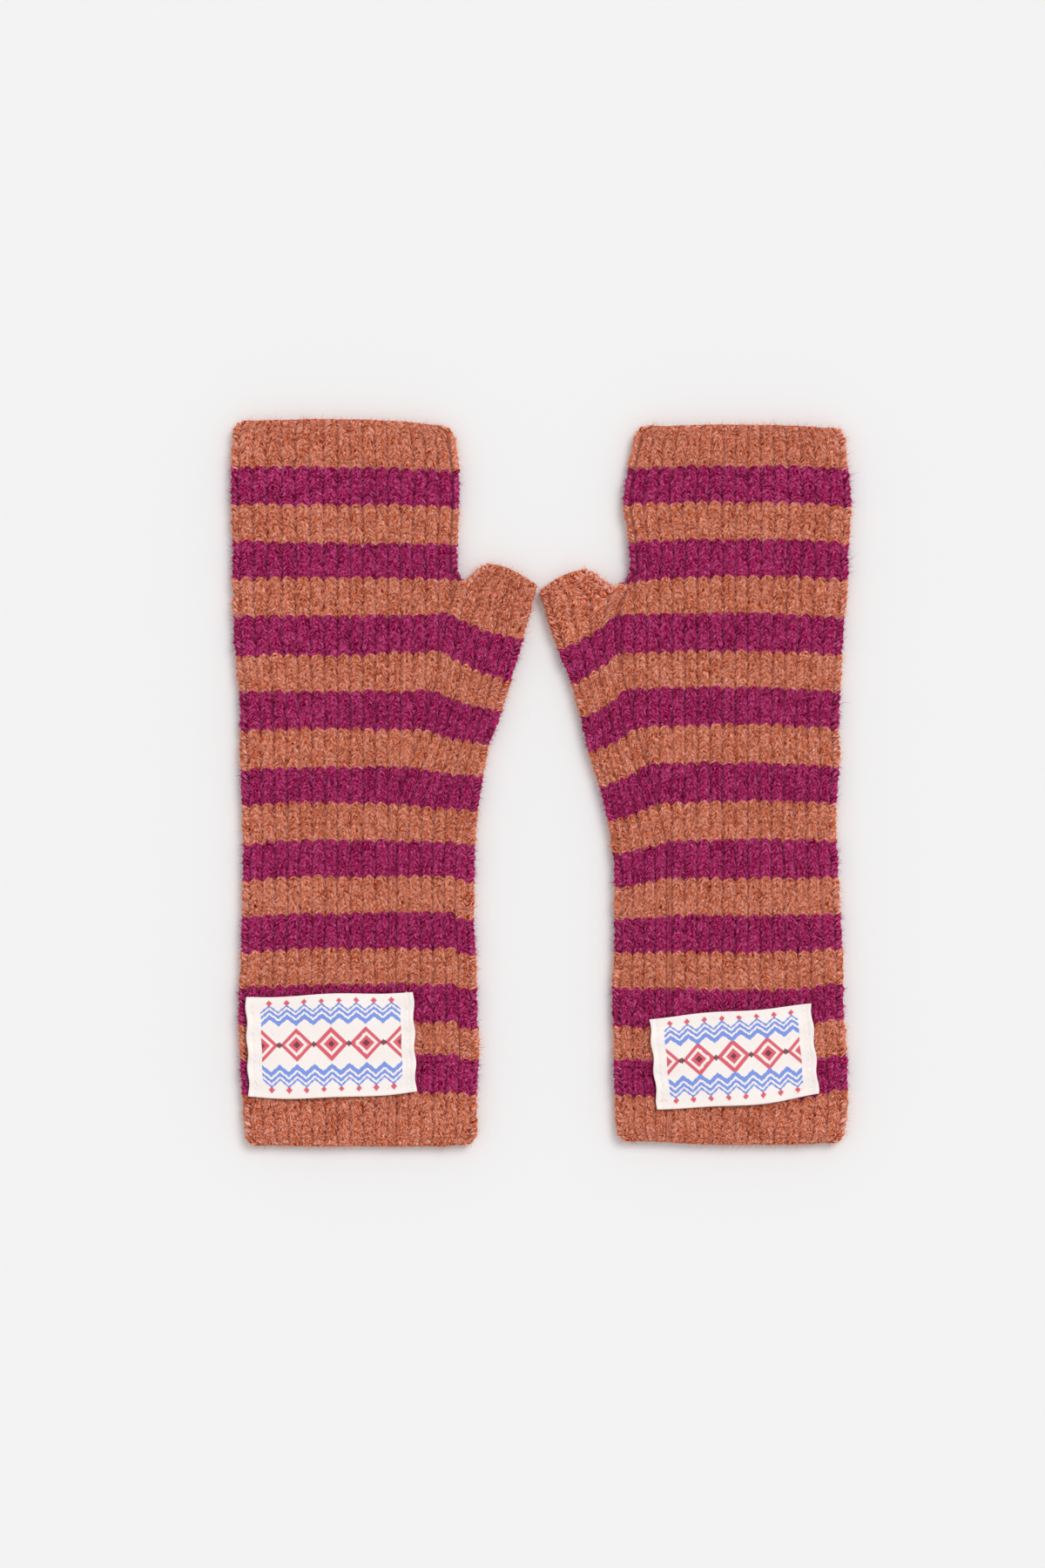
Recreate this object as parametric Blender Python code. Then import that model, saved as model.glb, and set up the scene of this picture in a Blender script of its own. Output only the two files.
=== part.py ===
"""A pair of fingerless mittens in one-by-one rib, laid flat side by side with the thumbs inwards.

Each mitten is a knitted tube pressed flat, open at the cuff and at the finger end. From half way up
a gusset leans away from the hand and forks off to a short, open thumb stall. A woven label lies on
the cuff. The ribs are raised on the upper layer; the inside and the underside are plain.
"""

from collections import namedtuple
import math

import bmesh
import bpy

# Sizes are in millimetres until a mesh is made.
METRES = 0.001

# The knit: ribs run up the mitten and courses run across it, six courses to a stripe.
RIB_PITCH = 4.64
EDGE_BAND_COURSES = 8
STRIPE_COURSES = 6
LAST_COURSE = 118
FORK_COURSE = 92  # where hand and thumb part
GUSSET_FALL = 1.6  # courses in the gusset fall fast at first, then level out

# Heights above the surface that the mittens lie on.
BACK_TOP = 2.8
FRONT_BOTTOM = 3.3
GROOVE_TOP = 4.8
RIB_TOP = 6.4
SIDE_TOP = 5.6
SIDE_MIDDLE = 3.05

# A rib's round top over its groove: shares of its pitch, and of its height.
RIB_PROFILE = ((0.0, 0.0), (0.17, 0.66), (0.36, 1.0), (0.64, 1.0), (0.83, 0.66))

# The folded sides and the open ends.
SIDE_ROUND = 3.2  # how far in from the fold the upper and lower faces become flat
SIDE_WALL = 2.5
CORNER_RADIUS = 4.0
STALL_CORNER = 1.0
STALL_RISES = (0.0, 0.3, 0.6, 0.9, 1.0)  # where along its height a stall has a section
END_ROUND_COURSES = 0.45
END_LIP = 0.5  # share of a layer's thickness that is left at the very end
SEAM_GAP = 0.35
SLIVER = 0.7  # a rib line nearer than this to a block's end is left out

# A label's own sizes.
LABEL_THICKNESS = 0.8
LABEL_ARCH = 0.7
LABEL_STEPS = (12, 8)

# One row for each colour change of the knit, from the cuff up: the course, then across the mitten
# the outer fold, the line where the thumb's ribs leave the hand's (above the fork, the hand's inner
# fold) and the gusset's fold, then the heights of that course at those places and mid-hand.
# The origin is the middle of the cuff's edge, and the thumb is on the +x side.
Section = namedtuple("Section", "course outer_x inner_x thumb_x outer_y hand_y inner_y thumb_y")

LEFT_SECTIONS = (
    Section(0, -42.2, 13.8, 43.5, 0.6, 0.0, 0.0, 0.6),
    Section(8, -43.5, 13.8, 43.8, 18.9, 18.9, 19.5, 18.9),
    Section(14, -44.2, 13.8, 44.5, 31.7, 33.3, 33.6, 31.7),
    Section(20, -44.5, 13.8, 44.2, 44.5, 45.8, 45.6, 43.5),
    Section(26, -44.5, 13.8, 43.8, 57.9, 59.2, 59.4, 57.9),
    Section(32, -43.8, 13.8, 43.5, 70.7, 72.3, 72.4, 70.4),
    Section(38, -43.5, 13.8, 42.9, 84.2, 85.4, 86.0, 83.8),
    Section(44, -43.2, 13.8, 42.9, 97.0, 98.9, 98.9, 97.3),
    Section(50, -43.2, 13.8, 43.2, 110.7, 112.3, 112.0, 110.7),
    Section(56, -43.5, 14.4, 44.2, 124.8, 126.1, 125.5, 123.5),
    Section(62, -43.8, 18.6, 46.1, 138.2, 139.2, 139.0, 135.7),
    Section(68, -44.2, 23.4, 48.6, 152.3, 153.3, 153.0, 147.5),
    Section(74, -44.5, 27.2, 52.8, 166.7, 167.0, 167.0, 160.0),
    Section(80, -45.8, 30.4, 56.3, 180.2, 180.5, 181.8, 171.2),
    Section(86, -46.7, 32.6, 60.9, 194.9, 194.6, 195.6, 186.2),
    Section(92, -47.0, 36.2, 63.6, 208.6, 208.6, 208.0, 198.1),
    Section(98, -47.0, 36.4, None, 222.4, 221.4, 221.1, None),
    Section(104, -47.4, 37.1, None, 235.8, 235.5, 234.6, None),
    Section(110, -47.4, 37.1, None, 249.3, 249.3, 248.0, None),
    Section(118, -46.7, 34.9, None, 266.2, 267.2, 263.7, None),
)

RIGHT_SECTIONS = (
    Section(0, -43.5, 22.7, 41.3, 1.0, 0.0, 0.8, 1.3),
    Section(8, -44.5, 22.7, 41.9, 20.8, 15.7, 16.6, 18.2),
    Section(14, -44.2, 22.7, 42.2, 33.6, 29.4, 30.0, 31.0),
    Section(20, -43.5, 22.7, 42.6, 46.4, 42.9, 43.0, 43.5),
    Section(26, -42.9, 22.7, 42.9, 59.5, 56.6, 57.0, 57.6),
    Section(32, -42.6, 22.7, 42.2, 72.3, 70.4, 70.6, 70.1),
    Section(38, -41.9, 22.7, 42.2, 85.1, 84.2, 84.0, 82.6),
    Section(44, -41.3, 22.7, 42.2, 98.2, 97.6, 97.4, 94.4),
    Section(50, -40.6, 22.7, 42.6, 111.7, 112.0, 111.0, 106.9),
    Section(56, -40.6, 26.2, 44.5, 125.1, 126.1, 125.0, 119.0),
    Section(62, -41.3, 30.1, 47.7, 138.6, 140.2, 139.4, 131.8),
    Section(68, -41.3, 33.9, 51.5, 152.3, 154.2, 153.0, 144.3),
    Section(74, -41.9, 37.4, 54.7, 165.8, 168.0, 167.2, 157.1),
    Section(80, -42.6, 40.6, 58.2, 179.8, 181.1, 180.4, 169.3),
    Section(86, -43.5, 41.3, 63.0, 193.6, 195.2, 194.6, 182.4),
    Section(92, -44.5, 36.5, 67.6, 207.4, 208.6, 206.4, 195.8),
    Section(98, -45.1, 36.8, None, 220.8, 222.4, 221.4, None),
    Section(104, -45.8, 38.7, None, 234.2, 235.8, 234.9, None),
    Section(110, -44.8, 37.1, None, 248.0, 249.3, 248.3, None),
    Section(118, -43.5, 33.9, None, 262.7, 264.6, 263.4, None),
)

# The stall's open end, from its corner next to the hand to its outer corner, and how far it bows
# out between them.
StallEnd = namedtuple("StallEnd", "near_x near_y far_x far_y bow")
Label = namedtuple("Label", "x y width height tilt_degrees")
Mitten = namedtuple("Mitten", "side x y mirror sections gusset_ribs stall_ribs stall_end label")

MITTENS = (
    Mitten("left", -67.0, -133.6, 1, LEFT_SECTIONS, 6, 5,
           StallEnd(46.2, 214.0, 66.0, 205.6, 1.9), Label(-10.2, 37.6, 61.5, 36.5, 1.8)),
    Mitten("right", 68.6, -133.0, -1, RIGHT_SECTIONS, 4, 4,
           StallEnd(51.3, 211.8, 69.9, 202.9, 1.6), Label(-2.2, 32.5, 59.6, 33.2, -5.0)),
)


def mix(start, end, share):
    """Return the value that lies the given share of the way from start to end."""
    return start + (end - start) * share


def smooth(before, start, end, after, share):
    """Return the value at a share of the way from start to end on a smooth curve through all four."""
    if start is None or end is None:
        return None
    before = start if before is None else before
    after = end if after is None else after
    bend = 2 * before - 5 * start + 4 * end - after
    twist = 3 * (start - end) + after - before
    return start + 0.5 * share * (end - before + share * (bend + share * twist))


def section_at(sections, course):
    """Return the section at any course, on smooth curves through the rows of the table."""
    row = next(index for index, above in enumerate(sections[1:]) if course <= above.course)
    before, below = sections[max(row - 1, 0)], sections[row]
    above, after = sections[row + 1], sections[min(row + 2, len(sections) - 1)]
    share = (course - below.course) / (above.course - below.course)
    values = Section(*(smooth(*places, share) for places in zip(before, below, above, after)))
    if share == 1:
        return above
    return values._replace(course=course)


def corner_inset(sections, course):
    """Return how far the folds draw in at an open end's rounded corners."""
    section = section_at(sections, course)
    top = sections[-1].hand_y
    to_end = min(section.hand_y, top - section.hand_y)
    if to_end >= CORNER_RADIUS:
        return 0.0
    return CORNER_RADIUS - math.sqrt(CORNER_RADIUS ** 2 - (CORNER_RADIUS - to_end) ** 2)


def hand_y(section, x):
    """Return the height of a course at x on the hand, bowed to its heights at both sides."""
    share = (x - section.outer_x) / (section.inner_x - section.outer_x)
    side_y = section.outer_y if share < 0.5 else section.inner_y
    return mix(section.hand_y, side_y, (2 * share - 1) ** 2)


def gusset_y(section, x):
    """Return the height of a course at x on the gusset, where it falls away from the hand."""
    share = (x - section.inner_x) / (section.thumb_x - section.inner_x)
    share = min(max(share, 0.0), 1.0)
    return mix(section.inner_y, section.thumb_y, 1 - (1 - share) ** GUSSET_FALL)


def rib_lines(start, end, count):
    """Return (place, height share) for the lines along ribs of equal width, grooves at share 0."""
    return [(mix(start, end, (rib + across) / count), height)
            for rib in range(count) for across, height in RIB_PROFILE]


class Sheet:
    """A sheet of cloth under construction: each point has an upper and a lower place."""

    def __init__(self):
        self.outer = []
        self.inner = []
        self.faces = []
        self.stripes = []

    def point(self, outer, inner):
        """Add one point and return its number."""
        self.outer.append(outer)
        self.inner.append(inner)
        return len(self.outer) - 1

    def join(self, lower, upper, stripe):
        """Add the faces between two rows of points of equal length, where points may repeat."""
        for index in range(len(lower) - 1):
            corners = []
            for point in (lower[index], lower[index + 1], upper[index + 1], upper[index]):
                if point not in corners:
                    corners.append(point)
            if len(corners) > 2:
                self.faces.append(corners)
                self.stripes.append(stripe)


def side_points(sheet, at, lift):
    """Add a folded side's points, from its flat top round to its flat underside.

    at(distance) gives the place at that distance in from the fold; lift(z) thins the open ends.
    """
    near = 0.25 * SIDE_ROUND
    slot_near = SIDE_WALL + 0.1
    rows = (
        (SIDE_ROUND, SIDE_TOP, SIDE_ROUND, FRONT_BOTTOM),
        (near, mix(SIDE_MIDDLE, SIDE_TOP, 0.68), slot_near, mix(SIDE_MIDDLE, FRONT_BOTTOM, 0.6)),
        (0.0, SIDE_MIDDLE, SIDE_WALL, SIDE_MIDDLE),
        (near, mix(SIDE_MIDDLE, 0.0, 0.68), slot_near, mix(SIDE_MIDDLE, BACK_TOP, 0.6)),
        (SIDE_ROUND, 0.0, SIDE_ROUND, BACK_TOP),
    )
    return [sheet.point((*at(outside), lift(top)), (*at(inside), slot))
            for outside, top, inside, slot in rows]


def end_lift(course, last):
    """Return the function that thins both layers towards an open end."""
    to_end = min(course, last - course)
    thin = END_LIP if to_end == 0 else 1.0

    def lift(z):
        if z > SIDE_MIDDLE:
            return mix(FRONT_BOTTOM, max(z, FRONT_BOTTOM), thin)
        return mix(BACK_TOP, min(z, BACK_TOP), thin)

    return lift


def row_points(sheet, lines, at, span, lift, upper_layer=True):
    """Add the points of the rib lines that fall inside a span; the others repeat its ends' points.

    span is ((start, point), (end, point)), each end with the point that already stands there.
    The lower layer is plain, so it has points at the grooves alone.
    """
    (start, start_point), (end, end_point) = span
    row = []
    for place, height in lines:
        if height and not upper_layer:
            continue
        if place < start + SLIVER:
            row.append(start_point)
        elif place > end - SLIVER:
            row.append(end_point)
        elif upper_layer:
            top = mix(GROOVE_TOP, RIB_TOP, height)
            row.append(sheet.point((*at(place), lift(top)), (*at(place), FRONT_BOTTOM)))
        else:
            row.append(sheet.point((*at(place), lift(0.0)), (*at(place), BACK_TOP)))
    return row


def body_courses(sections):
    """Return the courses at which the body has a section, closer together at ends and fork."""
    corner = EDGE_BAND_COURSES * CORNER_RADIUS / sections[1].hand_y
    near = [0, END_ROUND_COURSES, corner / 2, corner, (corner + EDGE_BAND_COURSES) / 2]
    stripes = range(EDGE_BAND_COURSES, LAST_COURSE - EDGE_BAND_COURSES + 1, STRIPE_COURSES // 2)
    return sorted([*near, *stripes, FORK_COURSE + 1, *(LAST_COURSE - step for step in near)])


def stripe_number(course):
    """Return the number of the stripe that a course lies in, from the cuff up."""
    if course < EDGE_BAND_COURSES:
        return 0
    stripe = 1 + int((course - EDGE_BAND_COURSES) // STRIPE_COURSES)
    return min(stripe, (LAST_COURSE - 2 * EDGE_BAND_COURSES) // STRIPE_COURSES + 1)


def body_sheet(mitten):
    """Lay out one mitten's body: hand, gusset and back in one sheet that closes on itself."""
    sheet = Sheet()
    sections = mitten.sections
    widest = max(row.inner_x for row in sections)
    first = min(row.outer_x for row in sections) + SIDE_ROUND
    rib_count = math.ceil((widest - first) / RIB_PITCH)
    hand_lines = rib_lines(widest - rib_count * RIB_PITCH, widest, rib_count)
    gusset_shares = rib_lines(0.0, 1.0, mitten.gusset_ribs)[1:]

    previous = None
    for course in body_courses(sections):
        section = section_at(sections, course)
        inset = corner_inset(sections, course)
        lift = end_lift(course, LAST_COURSE)
        fold = section.outer_x + inset

        def hand_at(x, section=section):
            return x, hand_y(section, x)

        outer_side = side_points(sheet, lambda inside: hand_at(fold + inside), lift)
        has_gusset = course <= FORK_COURSE
        has_fork = course >= FORK_COURSE
        fork_x = section.inner_x
        if not has_gusset:
            fork_x -= inset + SIDE_ROUND
        fork_side = None
        if has_fork:
            fork_side = side_points(sheet, lambda inside: hand_at(fork_x + SIDE_ROUND - inside), lift)
            fork_top, fork_back = fork_side[0], fork_side[-1]
        else:
            place = hand_at(fork_x)
            fork_top = sheet.point((*place, lift(GROOVE_TOP)), (*place, FRONT_BOTTOM))
            fork_back = sheet.point((*place, lift(0.0)), (*place, BACK_TOP))

        span = ((fold + SIDE_ROUND, outer_side[0]), (fork_x, fork_top))
        hand = [*outer_side[::-1], *row_points(sheet, hand_lines, hand_at, span, lift), fork_top]
        span = ((fold + SIDE_ROUND, outer_side[-1]), (fork_x, fork_back))
        hand_back = row_points(sheet, hand_lines, hand_at, span, lift, upper_layer=False)
        hand_back = [fork_back, *hand_back[::-1], outer_side[-1]]

        gusset = gusset_back = None
        if has_gusset:
            thumb_fold = section.thumb_x - inset

            def gusset_at(x, section=section):
                return x, gusset_y(section, x)

            thumb_side = side_points(sheet, lambda inside: gusset_at(thumb_fold - inside), lift)
            rib_end = thumb_fold - SIDE_ROUND
            lines = [(mix(fork_x, rib_end, share), height) for share, height in gusset_shares]
            span = ((fork_x, fork_top), (rib_end, thumb_side[0]))
            gusset = [fork_top, *row_points(sheet, lines, gusset_at, span, lift), *thumb_side]
            span = ((fork_x, fork_back), (rib_end, thumb_side[-1]))
            gusset_back = row_points(sheet, lines, gusset_at, span, lift, upper_layer=False)
            gusset_back = [thumb_side[-1], *gusset_back[::-1], fork_back]

        rows = (hand, hand_back, gusset, gusset_back, fork_side)
        if previous:
            stripe = stripe_number(previous[0])
            for lower, upper in zip(previous[1], rows):
                if lower and upper:
                    sheet.join(lower, upper, stripe)
        previous = (course, rows)
    return sheet


def stall_sheet(mitten):
    """Lay out one thumb stall: a short tube from the gusset's last course to its open end."""
    sheet = Sheet()
    section = section_at(mitten.sections, FORK_COURSE)
    end = mitten.stall_end
    near_x = section.inner_x + SIDE_ROUND + SEAM_GAP

    def place(share, rise):
        x = mix(near_x, section.thumb_x, share)
        low = (x, gusset_y(section, x) + SEAM_GAP)
        bow = end.bow * math.sin(math.pi * share)
        high = (mix(end.near_x, end.far_x, share), mix(end.near_y, end.far_y, share) + bow)
        return mix(low[0], high[0], rise), mix(low[1], high[1], rise)

    previous = None
    for rise in STALL_RISES:
        width = math.dist(place(0.0, rise), place(1.0, rise))
        corner = STALL_CORNER if rise == 1.0 else 0.0
        lift = end_lift(1.0 - rise, 2.0)

        def near_side(inside, rise=rise, width=width, corner=corner):
            return place((corner + inside) / width, rise)

        def far_side(inside, rise=rise, width=width, corner=corner):
            return place(1 - (corner + inside) / width, rise)

        near = side_points(sheet, near_side, lift)
        far = side_points(sheet, far_side, lift)
        round_share = (corner + SIDE_ROUND) / width
        lines = rib_lines(round_share, 1 - round_share, mitten.stall_ribs)[1:]

        def stall_at(share, rise=rise):
            return place(share, rise)

        ribs = row_points(sheet, lines, stall_at, ((-1, None), (2, None)), lift)
        back = row_points(sheet, lines, stall_at, ((-1, None), (2, None)), lift, upper_layer=False)
        row = [*near[::-1], *ribs, *far, *back[::-1], near[-1]]
        if previous:
            sheet.join(previous, row, 0)
        previous = row
    return sheet


def label_sheet(mitten):
    """Lay out one label: a plate just clear of the rib tops, a little arched between its ends."""
    sheet = Sheet()
    label = mitten.label
    turn = math.radians(label.tilt_degrees)
    columns, rows = LABEL_STEPS
    previous = None
    for row_number in range(rows + 1):
        across = mix(-label.height / 2, label.height / 2, row_number / rows)
        row = []
        for column in range(columns + 1):
            share = column / columns
            along = mix(-label.width / 2, label.width / 2, share)
            x = label.x + along * math.cos(turn) - across * math.sin(turn)
            y = label.y + along * math.sin(turn) + across * math.cos(turn)
            low = RIB_TOP + SEAM_GAP + LABEL_ARCH * math.sin(math.pi * share) ** 2
            row.append(sheet.point((x, y, low + LABEL_THICKNESS), (x, y, low)))
        if previous:
            sheet.join(previous, row, 0)
        previous = row
    return sheet


def wool(name, colour):
    """Return a matt wool material."""
    material = bpy.data.materials.new(name)
    material.use_nodes = True
    shader = material.node_tree.nodes["Principled BSDF"]
    shader.inputs["Base Color"].default_value = (*colour, 1.0)
    shader.inputs["Roughness"].default_value = 0.95
    shader.inputs["Metallic"].default_value = 0.0
    return material


def build_object(name, sheet, mitten, parent, colours):
    """Give a sheet its wall and make it a named object under its mitten's empty."""
    mesh = bpy.data.meshes.new(name)
    model = bmesh.new()

    def vertices(points):
        return [model.verts.new((x * mitten.mirror * METRES, y * METRES, z * METRES))
                for x, y, z in points]

    used = sorted({corner for face in sheet.faces for corner in face})
    outer = dict(zip(used, vertices(sheet.outer[point] for point in used)))
    inner = dict(zip(used, vertices(sheet.inner[point] for point in used)))
    edges = {}
    for corners, stripe in zip(sheet.faces, sheet.stripes):
        for layer, order in ((outer, corners), (inner, corners[::-1])):
            face = model.faces.new([layer[corner] for corner in order])
            face.material_index = stripe % len(colours)
        for start, end in zip(corners, corners[1:] + corners[:1]):
            edges[start, end] = stripe
    for (start, end), stripe in edges.items():
        if (end, start) not in edges:
            face = model.faces.new([outer[end], outer[start], inner[start], inner[end]])
            face.material_index = stripe % len(colours)
    bmesh.ops.recalc_face_normals(model, faces=model.faces)
    model.to_mesh(mesh)
    model.free()
    for number, colour in enumerate(colours):
        mesh.materials.append(wool(f"{name}_{number}", colour))
    part = bpy.data.objects.new(name, mesh)
    part.parent = parent
    bpy.context.scene.collection.objects.link(part)


ORANGE = (0.46, 0.13, 0.075)
MAGENTA = (0.25, 0.012, 0.075)
CREAM = (0.93, 0.86, 0.82)


def main():
    """Build both mittens."""
    for old in list(bpy.data.objects):
        bpy.data.objects.remove(old)
    for mitten in MITTENS:
        place = bpy.data.objects.new(f"{mitten.side}_mitten", None)
        place.location = (mitten.x * METRES, mitten.y * METRES, 0.0)
        bpy.context.scene.collection.objects.link(place)
        build_object(f"{mitten.side}_body", body_sheet(mitten), mitten, place, (ORANGE, MAGENTA))
        build_object(f"{mitten.side}_thumb", stall_sheet(mitten), mitten, place, (ORANGE,))
        build_object(f"{mitten.side}_label", label_sheet(mitten), mitten, place, (CREAM,))


main()
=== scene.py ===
"""The looks of a pair of fingerless mittens in one-by-one rib, laid flat with the thumbs inwards.

Each mitten is a flattened knitted tube with a gusset and a short thumb stall, and a woven label on
its cuff. The knit is a dense shell on each solid's form: Geometry Nodes raise its ribs and stitches
and grow its fuzz, and sew the label on.
"""

from __future__ import annotations

import logging
import math
from dataclasses import dataclass
from enum import Enum
from functools import partial
from typing import Any, NamedTuple

import bpy
import numpy as np
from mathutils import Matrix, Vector

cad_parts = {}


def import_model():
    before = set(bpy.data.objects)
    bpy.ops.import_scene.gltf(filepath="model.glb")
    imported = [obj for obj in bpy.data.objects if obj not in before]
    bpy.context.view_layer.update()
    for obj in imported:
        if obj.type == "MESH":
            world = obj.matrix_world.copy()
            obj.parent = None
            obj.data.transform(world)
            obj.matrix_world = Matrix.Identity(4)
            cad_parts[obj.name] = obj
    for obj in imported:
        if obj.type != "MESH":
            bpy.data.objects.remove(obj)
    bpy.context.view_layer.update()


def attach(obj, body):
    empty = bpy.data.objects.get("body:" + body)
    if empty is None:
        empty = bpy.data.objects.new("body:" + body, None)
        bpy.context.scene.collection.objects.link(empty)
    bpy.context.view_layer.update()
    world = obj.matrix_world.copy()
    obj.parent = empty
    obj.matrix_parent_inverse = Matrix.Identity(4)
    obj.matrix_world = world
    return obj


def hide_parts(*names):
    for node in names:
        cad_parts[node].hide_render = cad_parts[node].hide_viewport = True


log = logging.getLogger("mittens")
Socket = bpy.types.NodeSocket

MM = 0.001
PHOTO_SIZE = (1200, 1800)
PHOTO_PIXEL = 0.32 * MM  # one pixel of the photo at the height of the cloth
PHOTO_MIDDLE = (-6.9 * MM, -0.5 * MM)  # where the camera looks, beside the origin

EDGE_BAND_COURSES = 8  # the first stripe, at the cuff's edge
STRIPE_COURSES = 6
STRIPE_COUNT = 19
FORK_COURSE = 92  # where the thumb leaves the hand
LAST_COURSE = 118


class Layer(Enum):
    """The two layers of a mitten that lies flat."""

    FRONT = 1
    BACK = -1


class Section(NamedTuple):
    """A course of a mitten, in millimetres from the middle of the cuff's edge, thumb towards +x."""

    course: float
    outer_x: float
    inner_x: float
    thumb_x: float
    outer_y: float
    hand_y: float
    inner_y: float
    thumb_y: float


LEFT_SECTIONS = (
    Section(0, -42.2, 13.8, 43.5, 0.6, 0.0, 0.0, 0.6),
    Section(8, -43.5, 13.8, 43.8, 18.9, 18.9, 19.5, 18.9),
    Section(14, -44.2, 13.8, 44.5, 31.7, 33.3, 33.6, 31.7),
    Section(20, -44.5, 13.8, 44.2, 44.5, 45.8, 45.6, 43.5),
    Section(26, -44.5, 13.8, 43.8, 57.9, 59.2, 59.4, 57.9),
    Section(32, -43.8, 13.8, 43.5, 70.7, 72.3, 72.4, 70.4),
    Section(38, -43.5, 13.8, 42.9, 84.2, 85.4, 86.0, 83.8),
    Section(44, -43.2, 13.8, 42.9, 97.0, 98.9, 98.9, 97.3),
    Section(50, -43.2, 13.8, 43.2, 110.7, 112.3, 112.0, 110.7),
    Section(56, -43.5, 14.4, 44.2, 124.8, 126.1, 125.5, 123.5),
    Section(62, -43.8, 18.6, 46.1, 138.2, 139.2, 139.0, 135.7),
    Section(68, -44.2, 23.4, 48.6, 152.3, 153.3, 153.0, 147.5),
    Section(74, -44.5, 27.2, 52.8, 166.7, 167.0, 167.0, 160.0),
    Section(80, -45.8, 30.4, 56.3, 180.2, 180.5, 181.8, 171.2),
    Section(86, -46.7, 32.6, 60.9, 194.9, 194.6, 195.6, 186.2),
    Section(92, -47.0, 36.2, 63.6, 208.6, 208.6, 208.0, 198.1),
    Section(98, -47.0, 36.4, math.nan, 222.4, 221.4, 221.1, math.nan),
    Section(104, -47.4, 37.1, math.nan, 235.8, 235.5, 234.6, math.nan),
    Section(110, -47.4, 37.1, math.nan, 249.3, 249.3, 248.0, math.nan),
    Section(118, -46.7, 34.9, math.nan, 266.2, 267.2, 263.7, math.nan),
)

RIGHT_SECTIONS = (
    Section(0, -43.5, 22.7, 41.3, 1.0, 0.0, 0.8, 1.3),
    Section(8, -44.5, 22.7, 41.9, 20.8, 15.7, 16.6, 18.2),
    Section(14, -44.2, 22.7, 42.2, 33.6, 29.4, 30.0, 31.0),
    Section(20, -43.5, 22.7, 42.6, 46.4, 42.9, 43.0, 43.5),
    Section(26, -42.9, 22.7, 42.9, 59.5, 56.6, 57.0, 57.6),
    Section(32, -42.6, 22.7, 42.2, 72.3, 70.4, 70.6, 70.1),
    Section(38, -41.9, 22.7, 42.2, 85.1, 84.2, 84.0, 82.6),
    Section(44, -41.3, 22.7, 42.2, 98.2, 97.6, 97.4, 94.4),
    Section(50, -40.6, 22.7, 42.6, 111.7, 112.0, 111.0, 106.9),
    Section(56, -40.6, 26.2, 44.5, 125.1, 126.1, 125.0, 119.0),
    Section(62, -41.3, 30.1, 47.7, 138.6, 140.2, 139.4, 131.8),
    Section(68, -41.3, 33.9, 51.5, 152.3, 154.2, 153.0, 144.3),
    Section(74, -41.9, 37.4, 54.7, 165.8, 168.0, 167.2, 157.1),
    Section(80, -42.6, 40.6, 58.2, 179.8, 181.1, 180.4, 169.3),
    Section(86, -43.5, 41.3, 63.0, 193.6, 195.2, 194.6, 182.4),
    Section(92, -44.5, 36.5, 67.6, 207.4, 208.6, 206.4, 195.8),
    Section(98, -45.1, 36.8, math.nan, 220.8, 222.4, 221.4, math.nan),
    Section(104, -45.8, 38.7, math.nan, 234.2, 235.8, 234.9, math.nan),
    Section(110, -44.8, 37.1, math.nan, 248.0, 249.3, 248.3, math.nan),
    Section(118, -43.5, 33.9, math.nan, 262.7, 264.6, 263.4, math.nan),
)


def mix(start: Any, end: Any, share: Any) -> Any:
    """Return the value that lies the given share of the way from start to end."""
    return start + (end - start) * share


def ease(share: Any) -> Any:
    """Return a share from 0 to 1 with soft ends."""
    share = np.clip(share, 0.0, 1.0)
    return share * share * (3 - 2 * share)


def sections_at(table: tuple[Section, ...], courses: np.ndarray) -> Section:
    """Read a table of sections at many courses, on smooth curves through its rows.

    Args:
        table: The rows, from the cuff up.
        courses: The courses to read at.

    Returns:
        A section whose values are arrays, one value for each course.
    """
    rows = np.array(table, float)
    fork = next(number for number, row in enumerate(table) if row.course == FORK_COURSE)
    rows[fork + 1:] = np.where(np.isnan(rows[fork + 1:]), rows[fork], rows[fork + 1:])
    below = np.clip(np.searchsorted(rows[:, 0], courses) - 1, 0, len(rows) - 2)
    before, after = np.maximum(below - 1, 0), np.minimum(below + 2, len(rows) - 1)
    share = ((courses - rows[below, 0]) / (rows[below + 1, 0] - rows[below, 0]))[:, None]
    p0, p1, p2, p3 = rows[before], rows[below], rows[below + 1], rows[after]
    bend = 2 * p0 - 5 * p1 + 4 * p2 - p3
    twist = 3 * (p1 - p2) + p3 - p0
    values = p1 + 0.5 * share * (p2 - p0 + share * (bend + share * twist))
    values[:, 0] = courses
    return Section(*values.T)


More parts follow.
